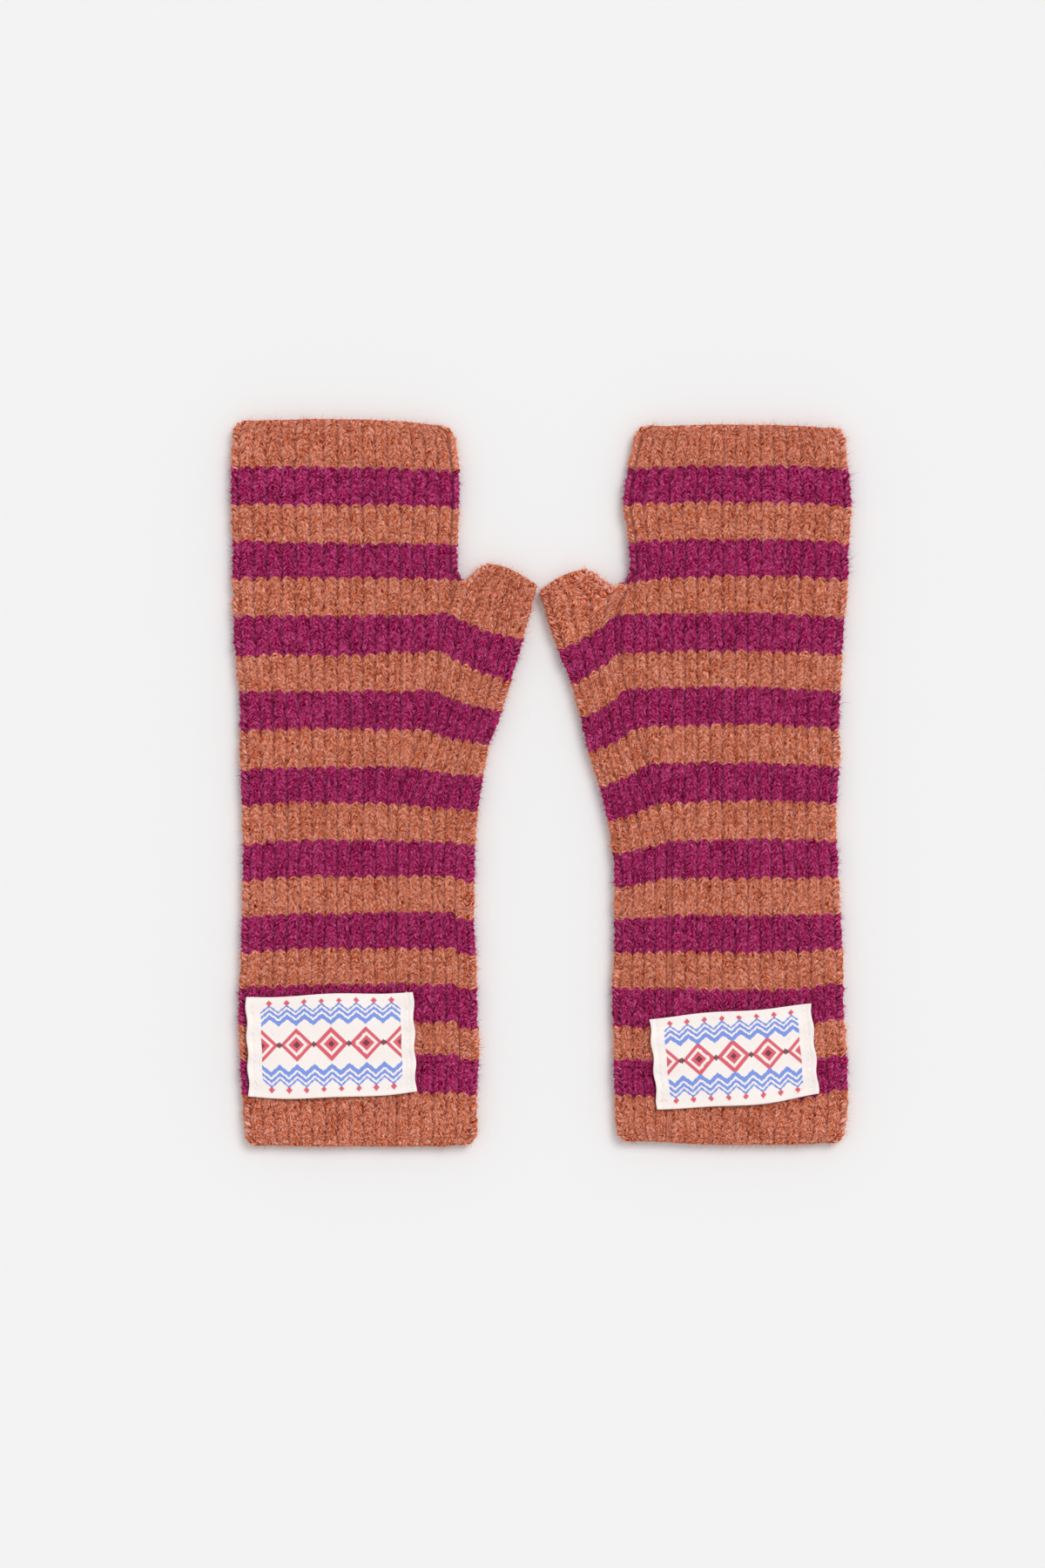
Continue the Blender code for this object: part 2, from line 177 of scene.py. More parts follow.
@dataclass(frozen=True)
class Gauge:
    """The knit's own sizes, in millimetres where nothing else is said."""

    rib_pitch: float = 4.64
    course: float = 2.26
    slant: float = 0.62  # courses that a stitch's leg climbs from groove to rib middle
    leg_curve: float = 1.7  # higher makes the legs steeper next to the grooves
    twist: float = 0.5  # courses that the strands within a leg climb over and above that
    rows_per_course: int = 4
    front_lines: tuple[float, ...] = (0.0, 0.09, 0.27, 0.5, 0.73, 0.91)  # shares of a rib's width
    back_lines: tuple[float, ...] = (0.0, 0.5)
    sliver: float = 0.28  # a new rib begins where it is this wide
    front_base: float = 4.4  # height of the grooves' floor
    back_base: float = 1.55
    front_rise: float = 2.15  # height of the ribs over it
    back_rise: float = 1.45
    slot_top: float = 3.3  # the hollow between the layers
    slot_bottom: float = 2.8
    slot_round: float = 0.25
    fold_points: int = 11
    corner_radius: float = 4.7  # of the open ends' corners
    end_courses: float = 1.9  # the body's open ends thin out over this many courses
    stall_end_courses: float = 1.0
    end_thin: float = 0.4  # share of the thickness that is left at an open end
    end_ribs: float = 0.14  # share of the ribs' height that is left there
    end_ribs_power: float = 1.8
    end_smooth: float = 0.6  # share of the ribs' lost height that the smooth cloth keeps there
    gusset_fall: float = 1.6  # how early the courses fall off across the gusset
    begin_power: float = 0.8  # how a new rib's height follows its width
    outline_rise: float = 0.9  # share of a side rib's height that counts at the outline

    @property
    def middle(self) -> float:
        """The height of the folded sides' middle."""
        return (self.front_base + self.back_base) / 2

    @property
    def fold_radius(self) -> float:
        """The radius of the folded sides' grooves."""
        return (self.front_base - self.back_base) / 2

    @property
    def fold_shares(self) -> np.ndarray:
        """Where a fold's points are, as shares of the way around it."""
        return np.linspace(0, 1, self.fold_points + 2)[1:-1]

    @property
    def fold_inset(self) -> float:
        """How far in from a side's outline its fold has its centre."""
        return self.fold_radius + self.outline_rise * self.rise_at(0.0)

    def ribs_left(self, thick: Any) -> Any:
        """Return the share of the ribs' height that is left where the cloth has thinned out."""
        share = (thick - self.end_thin) / (1 - self.end_thin)
        return mix(self.end_ribs, 1.0, share ** self.end_ribs_power)

    def rise_at(self, tilt: Any) -> Any:
        """Return the ribs' height where the surface is tilted, from 1 face up to -1 face down."""
        return mix(self.back_rise, self.front_rise, (tilt + 1) / 2)


class Grid(NamedTuple):
    """A patch of numbered points, with each point's place across and up the knit."""

    numbers: np.ndarray
    rib: np.ndarray
    stitch: np.ndarray

    def columns(self, start: int | None, end: int | None) -> Grid:
        """Return some of the columns."""
        return Grid(*(values[:, start:end] for values in self))

    def rows(self, picked: Any) -> Grid:
        """Return some of the rows."""
        return Grid(*(values[picked] for values in self))


class KnitShell:
    """A closed shell of knit under construction."""

    def __init__(self) -> None:
        """Start with nothing."""
        self.places: list[np.ndarray] = []
        self.rises: list[np.ndarray] = []
        self.marks: list[np.ndarray] = []
        self.faces: list[list[int]] = []
        self.corners: list[list[tuple[float, float]]] = []
        self.count = 0

    def points(self, places: np.ndarray, rib: Any, stitch: Any, rise: Any) -> Grid:
        """Add points.

        Args:
            places: Their places in millimetres, of shape (rows, columns, 3).
            rib: Across the knit, in ribs: whole numbers are grooves.
            stitch: Up the knit, in courses.
            rise: How far a rib's top stands over each point.

        Returns:
            The patch of points.
        """
        shape = places.shape[:2]
        rib, stitch, rise = (np.broadcast_to(value, shape) for value in (rib, stitch, rise))
        numbers = np.arange(self.count, self.count + shape[0] * shape[1]).reshape(shape)
        self.places.append(places.reshape(-1, 3))
        self.rises.append(rise.reshape(-1))
        self.marks.append(np.stack([rib, stitch], axis=-1).reshape(-1, 2))
        self.count += numbers.size
        return Grid(numbers, rib.copy(), stitch.copy())

    def face(self, corners: list[tuple[int, float, float]]) -> None:
        """Add a face from (number, rib, stitch) corners, unless it has no surface.

        Args:
            corners: The corners in order, as seen from outside.
        """
        kept = {number: (rib, stitch) for number, rib, stitch in corners}
        if len(kept) > 2:
            self.faces.append(list(kept))
            self.corners.append(list(kept.values()))

    def skin(self, grid: Grid, inward: bool = False) -> None:
        """Add the faces of a patch, where neighbours may be the same point.

        Args:
            grid: The patch, with its columns to the right as seen from outside.
            inward: Whether it is seen from the other side.
        """
        rings = [np.stack([values[:-1, :-1], values[:-1, 1:], values[1:, 1:], values[1:, :-1]],
                          axis=-1).reshape(-1, 4) for values in grid]
        for ring in zip(*(values.tolist() for values in rings)):
            corners = list(zip(*ring))
            self.face(corners[::-1] if inward else corners)

    def strip(self, fine: Grid, coarse: Grid, step: int, coarse_first: bool) -> None:
        """Join a column of every row to a column with one row in so many.

        Args:
            fine: The column with all rows.
            coarse: The other column.
            step: Rows of the first for each of the second.
            coarse_first: Whether the second is on the left as seen from outside.
        """
        fine_points = list(zip(*(values[:, 0].tolist() for values in fine)))
        coarse_points = list(zip(*(values[:, 0].tolist() for values in coarse)))
        for row in range(len(coarse_points) - 1):
            run = fine_points[row * step:row * step + step + 1]
            low, high = coarse_points[row:row + 2]
            self.face([low, *run, high] if coarse_first else [run[0], low, high, *run[:0:-1]])

    def mesh(self, name: str, mirrored: bool, place: tuple[float, float]) -> bpy.types.Mesh:
        """Make the mesh, in metres and in its place.

        Args:
            name: The mesh's name.
            mirrored: Whether the thumb is towards -x.
            place: Where the middle of the cuff's edge is, in millimetres.

        Returns:
            The mesh, with attributes rib, stitch and rise, and the corner map "Knit".
        """
        used = np.unique(np.concatenate([np.array(face) for face in self.faces]))
        number_of = np.zeros(self.count, int)
        number_of[used] = np.arange(len(used))
        places = np.concatenate(self.places)[used]
        if mirrored:
            places = places * (-1, 1, 1)
        places = (places + (*place, 0.0)) * MM
        order = -1 if mirrored else 1
        mesh = bpy.data.meshes.new(name)
        mesh.from_pydata(places.tolist(), [],
                         [number_of[face[::order]].tolist() for face in self.faces])
        marks = np.concatenate(self.marks)[used]
        for mark, values in (("rib", marks[:, 0]), ("stitch", marks[:, 1]),
                             ("rise", np.concatenate(self.rises)[used] * MM)):
            mesh.attributes.new(mark, "FLOAT", "POINT").data.foreach_set("value", values)
        knit_map = mesh.uv_layers.new(name="Knit")
        corners = [corner for face in self.corners for corner in face[::order]]
        knit_map.data.foreach_set("uv", np.array(corners, float).ravel())
        mesh.shade_smooth()
        return mesh


class Patch(NamedTuple):
    """A patch of a shell's outer points, with what its lining is made from."""

    grid: Grid
    place: np.ndarray
    layer: Layer | None = None
    outward: np.ndarray | None = None
    down: bool = True


def columns_at(ribs: range, shares: tuple[float, ...]) -> list[float]:
    """Return the columns that stand at the given shares of each rib's width."""
    return [number + share for number in ribs for share in shares]


def joined(*grids: Grid) -> Grid:
    """Set patches side by side."""
    return Grid(*(np.concatenate(values, axis=1) for values in zip(*grids)))


@dataclass(frozen=True)
class StallEnd:
    """The open end of a thumb stall, from its corner next to the hand to its outer one."""

    near: tuple[float, float]
    far: tuple[float, float]
    bow: float
    courses: float = 5.0


@dataclass(frozen=True)
class MittenPlan:
    """What tells one mitten from the other, in millimetres."""

    side: str
    place: tuple[float, float]
    mirrored: bool
    sections: tuple[Section, ...]
    gusset_ribs: int
    stall_end: StallEnd
    label_centre: tuple[float, float]
    label_size: tuple[float, float]
    label_tilt: float  # degrees
    seam_rib: int | None = None  # the gusset rib at which a seam breaks the courses
    seed: int = 1


PLANS = (
    MittenPlan("left", (-67.0, -133.6), False, LEFT_SECTIONS, 6,
               StallEnd((46.2, 214.0), (66.0, 205.6), 1.9), (-10.2, 37.6), (61.5, 36.5), 1.8,
               seam_rib=5, seed=3),
    MittenPlan("right", (68.6, -133.0), True, RIGHT_SECTIONS, 4,
               StallEnd((51.3, 211.8), (69.9, 202.9), 1.6), (-2.2, 32.5), (59.6, 33.2), -5.0,
               seed=8),
)


@dataclass(frozen=True)
class Knitter:
    """What the knitting of a mitten's body and that of its thumb stall share."""

    plan: MittenPlan
    gauge: Gauge = Gauge()
    middle_x: float = -8.0  # hand ribs beyond this line keep clear of the outer fold's bends
    flare_courses: float = 2.0  # the hand's inner fold rounds out over these above the fork
    fork_bulge: float = 0.3
    settle_courses: float = 4.0  # and its grooves follow the outline after these
    corner_ribs: float = 3.0  # the ribs that draw in at a rounded corner
    level_start: float = 4.0  # the courses over which the legs level out at the cuff
    level_end: float = 3.0  # and at a far open end
    seam_top: float = 50.0  # the course up to which the seam shows
    seam_blend: float = 8.0

    @property
    def inner_groove(self) -> float:
        """The x of the groove that becomes the hand's inner fold above the fork."""
        above = [row.inner_x for row in self.plan.sections if FORK_COURSE < row.course < LAST_COURSE]
        return sum(above) / len(above) - self.gauge.fold_inset

    @property
    def hand_ribs(self) -> int:
        """How many ribs the hand has across its upper layer, above the fork."""
        widths = [row.outer_x for row in self.plan.sections]
        width = self.inner_groove - sum(widths) / len(widths) - self.gauge.fold_inset
        return round(width / self.gauge.rib_pitch)

    def course_at(self, rib: np.ndarray, stitch: np.ndarray, end: float = LAST_COURSE) -> np.ndarray:
        """Return the course at which a stitch shows, as its legs climb to the middle of the rib.

        Args:
            rib: Across the knit, in ribs.
            stitch: Up the knit, in courses.
            end: The open end's course, towards which the legs level out.

        Returns:
            The course, counted as the sections count.
        """
        lean = np.abs(2 * (rib - np.floor(rib)) - 1)
        level = ease((end - stitch) / self.level_end) * ease(stitch / self.level_start)
        return stitch + self.gauge.slant * (0.5 - lean ** self.gauge.leg_curve) * level

    def corner_inset(self, section: Section) -> np.ndarray:
        """Return how far the folds draw in at the open ends' rounded corners.

        Args:
            section: The sections.

        Returns:
            The insets in millimetres.
        """
        radius = self.gauge.corner_radius
        top = self.plan.sections[-1].hand_y
        depth = radius - np.clip(np.minimum(section.hand_y, top - section.hand_y), 0, radius)
        return radius - np.sqrt(radius ** 2 - depth ** 2)

    def fork_x(self, section: Section) -> np.ndarray:
        """Return the x of the line where the gusset leaves the hand, or of the inner fold above.

        Args:
            section: The sections.

        Returns:
            The line's x at each of them.
        """
        fold = section.inner_x - self.gauge.fold_inset - self.corner_inset(section)
        above = ease((section.course - FORK_COURSE) / self.flare_courses)
        return mix(section.inner_x, fold, above)

    def groove_x(self, number: np.ndarray, section: Section) -> np.ndarray:
        """Return the x of the hand's grooves, counted from the outer fold's upper one.

        Args:
            number: The grooves' numbers.
            section: The sections.

        Returns:
            The grooves' x at the sections.
        """
        count, pitch = self.hand_ribs, self.gauge.rib_pitch
        inset = self.corner_inset(section)
        outer = section.outer_x + self.gauge.fold_inset
        steady = self.inner_groove - (count - number) * pitch
        middle = count - (self.inner_groove - self.middle_x) / pitch
        lean = np.clip(1 - number / middle, 0, 1)
        corner = inset * np.clip(1 - number / self.corner_ribs, 0, 1)
        inner = section.inner_x - self.gauge.fold_inset - self.inner_groove
        inner = inner * ease((section.course - FORK_COURSE) / self.settle_courses)
        far_lean = np.clip((number - middle) / (count - middle), 0, 1)
        far_corner = inset * np.clip((number - count) / self.corner_ribs + 1, 0, 1)
        first = self.inner_groove - count * pitch
        return steady + (outer - first) * lean + corner + inner * far_lean - far_corner * (
            section.course > FORK_COURSE)

    def hand_y(self, section: Section, x: np.ndarray) -> np.ndarray:
        """Return the height of a course at x on the hand, bowed to its heights at both sides.

        Args:
            section: The sections.
            x: Across the hand, in millimetres.

        Returns:
            The y of the points.
        """
        share = (x - section.outer_x) / (section.inner_x - section.outer_x)
        side = np.where(share < 0.5, section.outer_y, section.inner_y)
        return mix(section.hand_y, side, (2 * share - 1) ** 2)

    def sections(self, courses: np.ndarray) -> Section:
        """Return the sections at an array of courses of any shape."""
        values = sections_at(self.plan.sections, courses.ravel())
        return Section(*(value.reshape(courses.shape) for value in values))

    def thumb_place(self, rib: np.ndarray, courses: np.ndarray) -> np.ndarray:
        """Return the (x, y) of the gusset, and above the fork of the stall.

        Args:
            rib: Across the gusset, in its ribs from the hand.
            courses: Up the gusset.

        Returns:
            The places, with x and y last.
        """
        ribs, end = self.plan.gusset_ribs, self.plan.stall_end
        section = self.sections(np.minimum(courses, FORK_COURSE))
        start = section.inner_x
        edge = section.thumb_x - self.gauge.fold_inset - self.corner_inset(section)
        x = mix(start, edge, rib / ribs)
        share = np.clip((x - start) / (section.thumb_x - start), 0, 1)
        fall = 1 - (1 - share) ** self.gauge.gusset_fall
        if self.plan.seam_rib is not None:
            seam = ease((self.seam_top + self.seam_blend / 2 - courses) / self.seam_blend)
            fall = mix(fall, (rib > self.plan.seam_rib).astype(float), seam)
        y = mix(section.inner_y, section.thumb_y, fall)
        width = math.dist(end.near, end.far)
        near = self.gauge.fold_inset / width
        along = mix(near, 1 - near, (rib - 1) / (ribs - 1))
        end_x = mix(end.near[0], end.far[0], along)
        end_y = mix(end.near[1], end.far[1], along) + end.bow * np.sin(math.pi * along)
        rise = np.maximum(courses - FORK_COURSE, 0) / end.courses
        return np.stack([mix(x, end_x, rise), mix(y, end_y, rise)], axis=-1)

    @property
    def end_courses(self) -> float:
        """The courses over which an open end thins out."""
        return self.gauge.end_courses

    def thickness(self, stitch: np.ndarray, start: float, end: float) -> np.ndarray:
        """Return the share of the cloth's thickness that is left towards its open ends.

        Args:
            stitch: Up the knit, in courses.
            start: The lower open end's course, or minus infinity where there is none.
            end: The upper open end's course.

        Returns:
            The shares.
        """
        inside = np.clip(np.minimum(stitch - start, end - stitch) / self.end_courses, 0, 1)
        return mix(self.gauge.end_thin, 1.0, np.sqrt(1 - (1 - inside) ** 2))

    def flat(self, shell: KnitShell, layer: Layer, place: np.ndarray, rib: np.ndarray,
             stitch: np.ndarray, thick: np.ndarray, width: Any = 1.0) -> Grid:
        """Add the points of an outer flat patch.

        Args:
            shell: The shell to add to.
            layer: The layer.
            place: The (x, y) of each point.
            rib: Across the knit, in ribs.
            stitch: Up the knit, in courses.
            thick: The share of the cloth's thickness at each point.
            width: The share of their full width that the ribs have.

        Returns:
            The patch of points.
        """
        gauge = self.gauge
        slot, base, rise = ((gauge.slot_top, gauge.front_base, gauge.front_rise)
                            if layer is Layer.FRONT else
                            (gauge.slot_bottom, gauge.back_base, gauge.back_rise))
        ribs = gauge.ribs_left(thick)
        smooth = base + layer.value * gauge.end_smooth * rise * (1 - ribs)
        z = np.broadcast_to(mix(slot, smooth, thick), place.shape[:2])
        places = np.concatenate([place, z[..., None]], axis=-1)
        return shell.points(places, rib, stitch, rise * ribs * width)

    def fold(self, shell: KnitShell, centre: np.ndarray, outward: np.ndarray, rib: np.ndarray,
             stitch: np.ndarray, thick: np.ndarray, down: bool, bulge: Any = 1.0) -> Grid:
        """Add the points between the ends of a folded side, on its half round.

        Args:
            shell: The shell to add to.
            centre: The (x, y) of the fold's middle at each point.
            outward: The unit (x, y) out of the fold at each point.
            rib: Across the knit, in ribs.
            stitch: Up the knit.
            thick: The share of the cloth's thickness at each point.
            down: Whether the points go from the upper layer to the lower one.
            bulge: How far the fold stands out, as a share of a half round.

        Returns:
            The patch of points.
        """
        gauge = self.gauge
        angle = math.pi * (0.5 - gauge.fold_shares) * (1 if down else -1)
        sine, cosine = np.sin(angle), np.cos(angle)
        ribs = gauge.ribs_left(thick)
        radius = gauge.fold_radius + gauge.end_smooth * gauge.rise_at(sine) * (1 - ribs)
        out = radius * cosine * bulge * thick
        z = gauge.middle + radius * sine
        slot = np.clip(z, gauge.slot_bottom, gauge.slot_top)
        z = np.broadcast_to(mix(slot, z, thick), centre.shape[:2])
        places = np.concatenate([centre + outward * out[..., None], z[..., None]], axis=-1)
        rise = gauge.rise_at(sine) * ribs * mix(bulge, 1.0, np.abs(sine))
        return shell.points(places, rib, stitch, rise)

    def lining(self, shell: KnitShell, place: np.ndarray, layer: Layer | None, outward: Any,
               like: Grid, down: bool = True) -> Grid:
        """Add the inner points behind a patch: of a flat layer, or of a fold's small round.

        Args:
            shell: The shell to add to.
            place: The (x, y) of each point, or of the fold's middle.
            layer: The flat layer, or None for a fold.
            outward: The unit (x, y) out of the fold at each point.
            like: The outer patch, whose ribs and stitches the points take.
            down: Whether a fold's points go from the upper layer to the lower one.

        Returns:
            The patch of points.
        """
        gauge = self.gauge
        if layer is not None:
            z = gauge.slot_top if layer is Layer.FRONT else gauge.slot_bottom
            z = np.full(place.shape[:2], z)
        else:
            angle = math.pi * (0.5 - gauge.fold_shares) * (1 if down else -1)
            place = place + outward * (gauge.slot_round * np.cos(angle))[..., None]
            z = (gauge.slot_top + gauge.slot_bottom) / 2 + gauge.slot_round * np.sin(angle)
            z = np.broadcast_to(z, place.shape[:2])
        places = np.concatenate([place, z[..., None]], axis=-1)
        return shell.points(places, like.rib, like.stitch, 0.0)

    def thumb_fold(self, shell: KnitShell, rib: np.ndarray, stitch: np.ndarray, thick: np.ndarray,
                   far: bool = True, end: float = LAST_COURSE, shift: float = 0.0) -> Patch:
        """Add a folded side of the gusset or the stall.

        Args:
            shell: The shell to add to.
            rib: Across the knit, in ribs.
            stitch: Up the knit, in courses.
            thick: The share of the cloth's thickness at each point.
            far: Whether it is the side away from the hand.
            end: The open end's course.
            shift: How many courses the stripes are drawn up by.

        Returns:
            The patch, with what its lining is made from.
        """
        groove = np.full(rib.shape, float(self.plan.gusset_ribs if far else 1))
        courses = self.course_at(rib, stitch, end)
        centre = self.thumb_place(groove, courses)
        across = centre - self.thumb_place(groove + (-1 if far else 1), courses)
        across /= np.linalg.norm(across, axis=-1, keepdims=True)
        grid = self.fold(shell, centre, across, rib, stitch - shift, thick, down=far)
        return Patch(grid, centre, None, across, down=far)

    def close(self, shell: KnitShell, outer: Grid, inner: Grid, top: bool) -> None:
        """Add the rim between the last rows of an outer patch and its lining."""
        rows = (outer, inner) if top else (inner, outer)
        shell.skin(Grid(*(np.concatenate(pair) for pair in zip(*rows))))


@dataclass(frozen=True)
class BodyKnitter(Knitter):
    """Knits a body: hand, gusset and back in one tube with a hole for the thumb."""

    back_step: int = 2  # rows of the front for each of the back
    lining_courses: int = 12  # courses for each row of the lining
    inner_fold_rib: float = 50.0  # where the ribs of the fold above the crotch count on from

    def hand_place(self, rib: np.ndarray, stitch: np.ndarray) -> tuple[np.ndarray, ...]:
        """Place points on the hand.

        Args:
            rib: Across the knit, in ribs.
            stitch: Up the knit, in courses.

        Returns:
            Their (x, y), their rib's share of its full width, and whether it hasn't begun there.
        """
        section = self.sections(self.course_at(rib, stitch))
        number = np.floor(rib)
        edge = self.fork_x(section)
        left = np.minimum(self.groove_x(number, section), edge)
        right = np.minimum(self.groove_x(number + 1, section), edge)
        x = mix(left, right, rib - number)
        level = self.sections(self.course_at(number, stitch))
        missing = self.groove_x(number, level) > self.fork_x(level) - self.gauge.sliver
        width = np.clip((right - left) / self.gauge.rib_pitch, 0, 1) ** self.gauge.begin_power
        return np.stack([x, self.hand_y(section, x)], axis=-1), width, missing

    def fork_line(self, rib: np.ndarray, stitch: np.ndarray) -> np.ndarray:
        """Return the (x, y) of the line where the gusset leaves the hand.

        Args:
            rib: Across the knit, in ribs.
            stitch: Up the knit, in courses.

        Returns:
            The places, with x and y last.
        """
        section = self.sections(self.course_at(rib, stitch))
        x = self.fork_x(section)
        return np.stack([x, self.hand_y(section, x)], axis=-1)

    def build(self) -> KnitShell:
        """Build the shell.

        Returns:
            The closed shell, in millimetres.
        """
        gauge, ribs, step = self.gauge, self.plan.gusset_ribs, self.back_step
        shell = KnitShell()
        per = gauge.rows_per_course
        stitch = np.arange(LAST_COURSE * per + 1)[:, None] / per
        fork = FORK_COURSE * per
        below, above = slice(0, fork + 1), slice(fork, None)
        widest = max(row.inner_x for row in self.plan.sections)
        count = self.hand_ribs + math.ceil((widest - self.inner_groove) / gauge.rib_pitch)
        thick = self.thickness(stitch, 0, LAST_COURSE)

        def crossed(columns: Any, rows: slice = slice(None)) -> tuple[np.ndarray, ...]:
            """Return the rib and the stitch wherever some columns cross some rows."""
            return np.broadcast_arrays(np.array(columns, float)[None, :], stitch[rows])

        def hand(layer: Layer, columns: list[float], rows: slice, edge: Grid) -> Patch:
            """Add a patch of the hand, whose ribs lie on its edge before they begin.

            Args:
                layer: The layer.
                columns: Its columns, in ribs.
                rows: Which of the shell's rows it has.
                edge: The points of the edge, in every row.

            Returns:
                The patch.
            """
            rib, up = crossed(columns, rows)
            place, width, none = self.hand_place(rib, up)
            grid = self.flat(shell, layer, place, rib, up, thick[rows], width)
            edge = edge.rows(rows)
            numbers = np.where(none, edge.numbers, grid.numbers)
            return Patch(Grid(numbers, np.where(none, edge.rib, grid.rib), grid.stitch), place, layer)

        def thumb(layer: Layer, columns: list[float], rows: slice) -> Patch:
            """Add a patch of the gusset.

            Args:
                layer: The layer.
                columns: Its columns, in ribs.
                rows: Which of the shell's rows it has.

            Returns:
                The patch.
            """
            rib, up = crossed(columns, rows)
            place = self.thumb_place(rib, self.course_at(rib, up))
            return Patch(self.flat(shell, layer, place, rib, up, thick[rows]), place, layer)

        def at_groove(edge: Grid) -> Grid:
            """Number the hand's edge as the gusset's first groove."""
            return Grid(edge.numbers, np.zeros_like(edge.rib), edge.stitch)

        # The line where the gusset leaves the hand, on both layers. It is a groove, so its points
        # take the number of the last rib that has begun.
        begun = np.arange(count)[None, :].astype(float)
        missing = self.hand_place(*np.broadcast_arrays(begun, stitch))[2]
        last = (count - missing.sum(axis=1, keepdims=True)).astype(float)
        line = self.fork_line(last, stitch)
        fork_front = self.flat(shell, Layer.FRONT, line, last, stitch, thick, 0.0)
        fork_back = self.flat(shell, Layer.BACK, line, last, stitch, thick, 0.0)

        front = hand(Layer.FRONT, columns_at(range(count), gauge.front_lines), slice(None),
                     fork_front)
        back = hand(Layer.BACK, columns_at(range(count), gauge.back_lines)[:0:-1],
                    slice(None, None, step), fork_back)
        back_edge = hand(Layer.BACK, [0.0], slice(None), fork_back)

        # The hand's outer fold, from the lower layer to the upper one.
        rib, up = crossed(gauge.fold_shares - 1)
        section = self.sections(self.course_at(rib, up))
        x = self.groove_x(np.zeros(1), section)
        centre = np.stack([x, self.hand_y(section, x)], axis=-1)
        outward = np.broadcast_to((-1.0, 0.0), centre.shape)
        grid = self.fold(shell, centre, outward, rib, up, thick, down=False)
        outer_fold = Patch(grid, centre, None, outward, down=False)

        # The hand's inner fold above the fork.
        rib, up = crossed(gauge.fold_shares + self.inner_fold_rib, above)
        centre = self.fork_line(rib, up)
        outward = np.broadcast_to((1.0, 0.0), centre.shape)
        bulge = mix(self.fork_bulge, 1.0, ease((up - FORK_COURSE) / self.flare_courses))
        grid = self.fold(shell, centre, outward, rib, up, thick[above], True, bulge)
        inner_fold = Patch(grid, centre, None, outward)

        # The gusset, its fold and its back.
        gusset = thumb(Layer.FRONT, [*columns_at(range(ribs), gauge.front_lines)[1:], ribs], below)
        thumb_fold = self.thumb_fold(shell, *crossed(ribs + gauge.fold_shares, below), thick[below])
        thumb_back = thumb(Layer.BACK, [ribs], below)
        gusset_back = thumb(Layer.BACK, columns_at(range(ribs), gauge.back_lines)[:0:-1],
                            slice(0, fork + 1, step))

        shell.skin(joined(front.grid, fork_front))
        shell.skin(joined(at_groove(fork_front.rows(below)), gusset.grid))
        shell.skin(joined(gusset.grid.columns(-1, None), thumb_fold.grid, thumb_back.grid))
        shell.strip(thumb_back.grid, gusset_back.grid.columns(0, 1), step, coarse_first=False)
        shell.skin(gusset_back.grid)
        shell.strip(at_groove(fork_back.rows(below)), gusset_back.grid.columns(-1, None), step,
                    coarse_first=True)
        shell.skin(joined(fork_front.rows(above), inner_fold.grid, fork_back.rows(above)))
        shell.strip(fork_back, back.grid.columns(0, 1), step, coarse_first=False)
        shell.skin(back.grid)
        shell.strip(back_edge.grid, back.grid.columns(-1, None), step, coarse_first=True)
        shell.skin(joined(back_edge.grid, outer_fold.grid, front.grid.columns(0, 1)))

        self.line_body(shell, fork, dict(
            front=front, fork_front=Patch(fork_front, line, Layer.FRONT), gusset=gusset,
            thumb_fold=thumb_fold, thumb_back=thumb_back, gusset_back=gusset_back,
            fork_back=Patch(fork_back, line, Layer.BACK), inner_fold=inner_fold, back=back,
            back_edge=back_edge, outer_fold=outer_fold))
        return shell

    def line_body(self, shell: KnitShell, fork: int, patches: dict[str, Patch]) -> None:
        """Add the body's inner face, with few rows, and the rims of its three open ends.

        Args:
            shell: The shell to add to.
            fork: The row at which the thumb leaves the hand.
            patches: The outer patches by name.
        """
        total = LAST_COURSE * self.gauge.rows_per_course
        every = self.lining_courses * self.gauge.rows_per_course
        rows = np.array(sorted({*range(0, total, every), fork, total}))
        low, high = rows[rows <= fork], rows[rows >= fork]
        # Which rows of a patch its lining has, counted in the patch's own rows.
        own = {name: rows for name in patches}
        own.update(gusset=low, thumb_fold=low, thumb_back=low, gusset_back=low // self.back_step,
                   inner_fold=high - fork, back=rows // self.back_step)
        outer, inner = {}, {}
        for name, patch in patches.items():
            picked = own[name]
            outer[name] = patch.grid.rows(picked)
            outward = None if patch.outward is None else patch.outward[picked]
            inner[name] = self.lining(shell, patch.place[picked], patch.layer, outward, outer[name],
                                      patch.down)
        for side, edge in (("front", "fork_front"), ("back", "fork_back")):
            gone = outer[side].numbers == outer[edge].numbers
            numbers = np.where(gone, inner[edge].numbers, inner[side].numbers)
            inner[side] = inner[side]._replace(numbers=numbers)

        def around(side: dict[str, Grid], names: tuple[str, ...], part: slice) -> Grid:
            """Join patches, with only the given part of the rows of those that pass the fork."""
            return joined(*(side[name].rows(part) if len(side[name].numbers) == len(rows)
                            else side[name] for name in names))

        whole, under, over = slice(None), slice(0, len(low)), slice(len(low) - 1, None)
        first, end = slice(0, 1), slice(-1, None)
        front = ("back_edge", "outer_fold", "front", "fork_front")
        crotch = ("fork_front", "inner_fold", "fork_back")
        back = ("fork_back", "back", "back_edge")
        thumb = (("fork_front", "gusset", "thumb_fold", "thumb_back"),
                 ("thumb_back", "gusset_back", "fork_back"))
        for names, part in ((front, whole), (back, whole), (thumb[0], under), (thumb[1], under),
                            (crotch, over)):
            shell.skin(around(inner, names, part), inward=True)
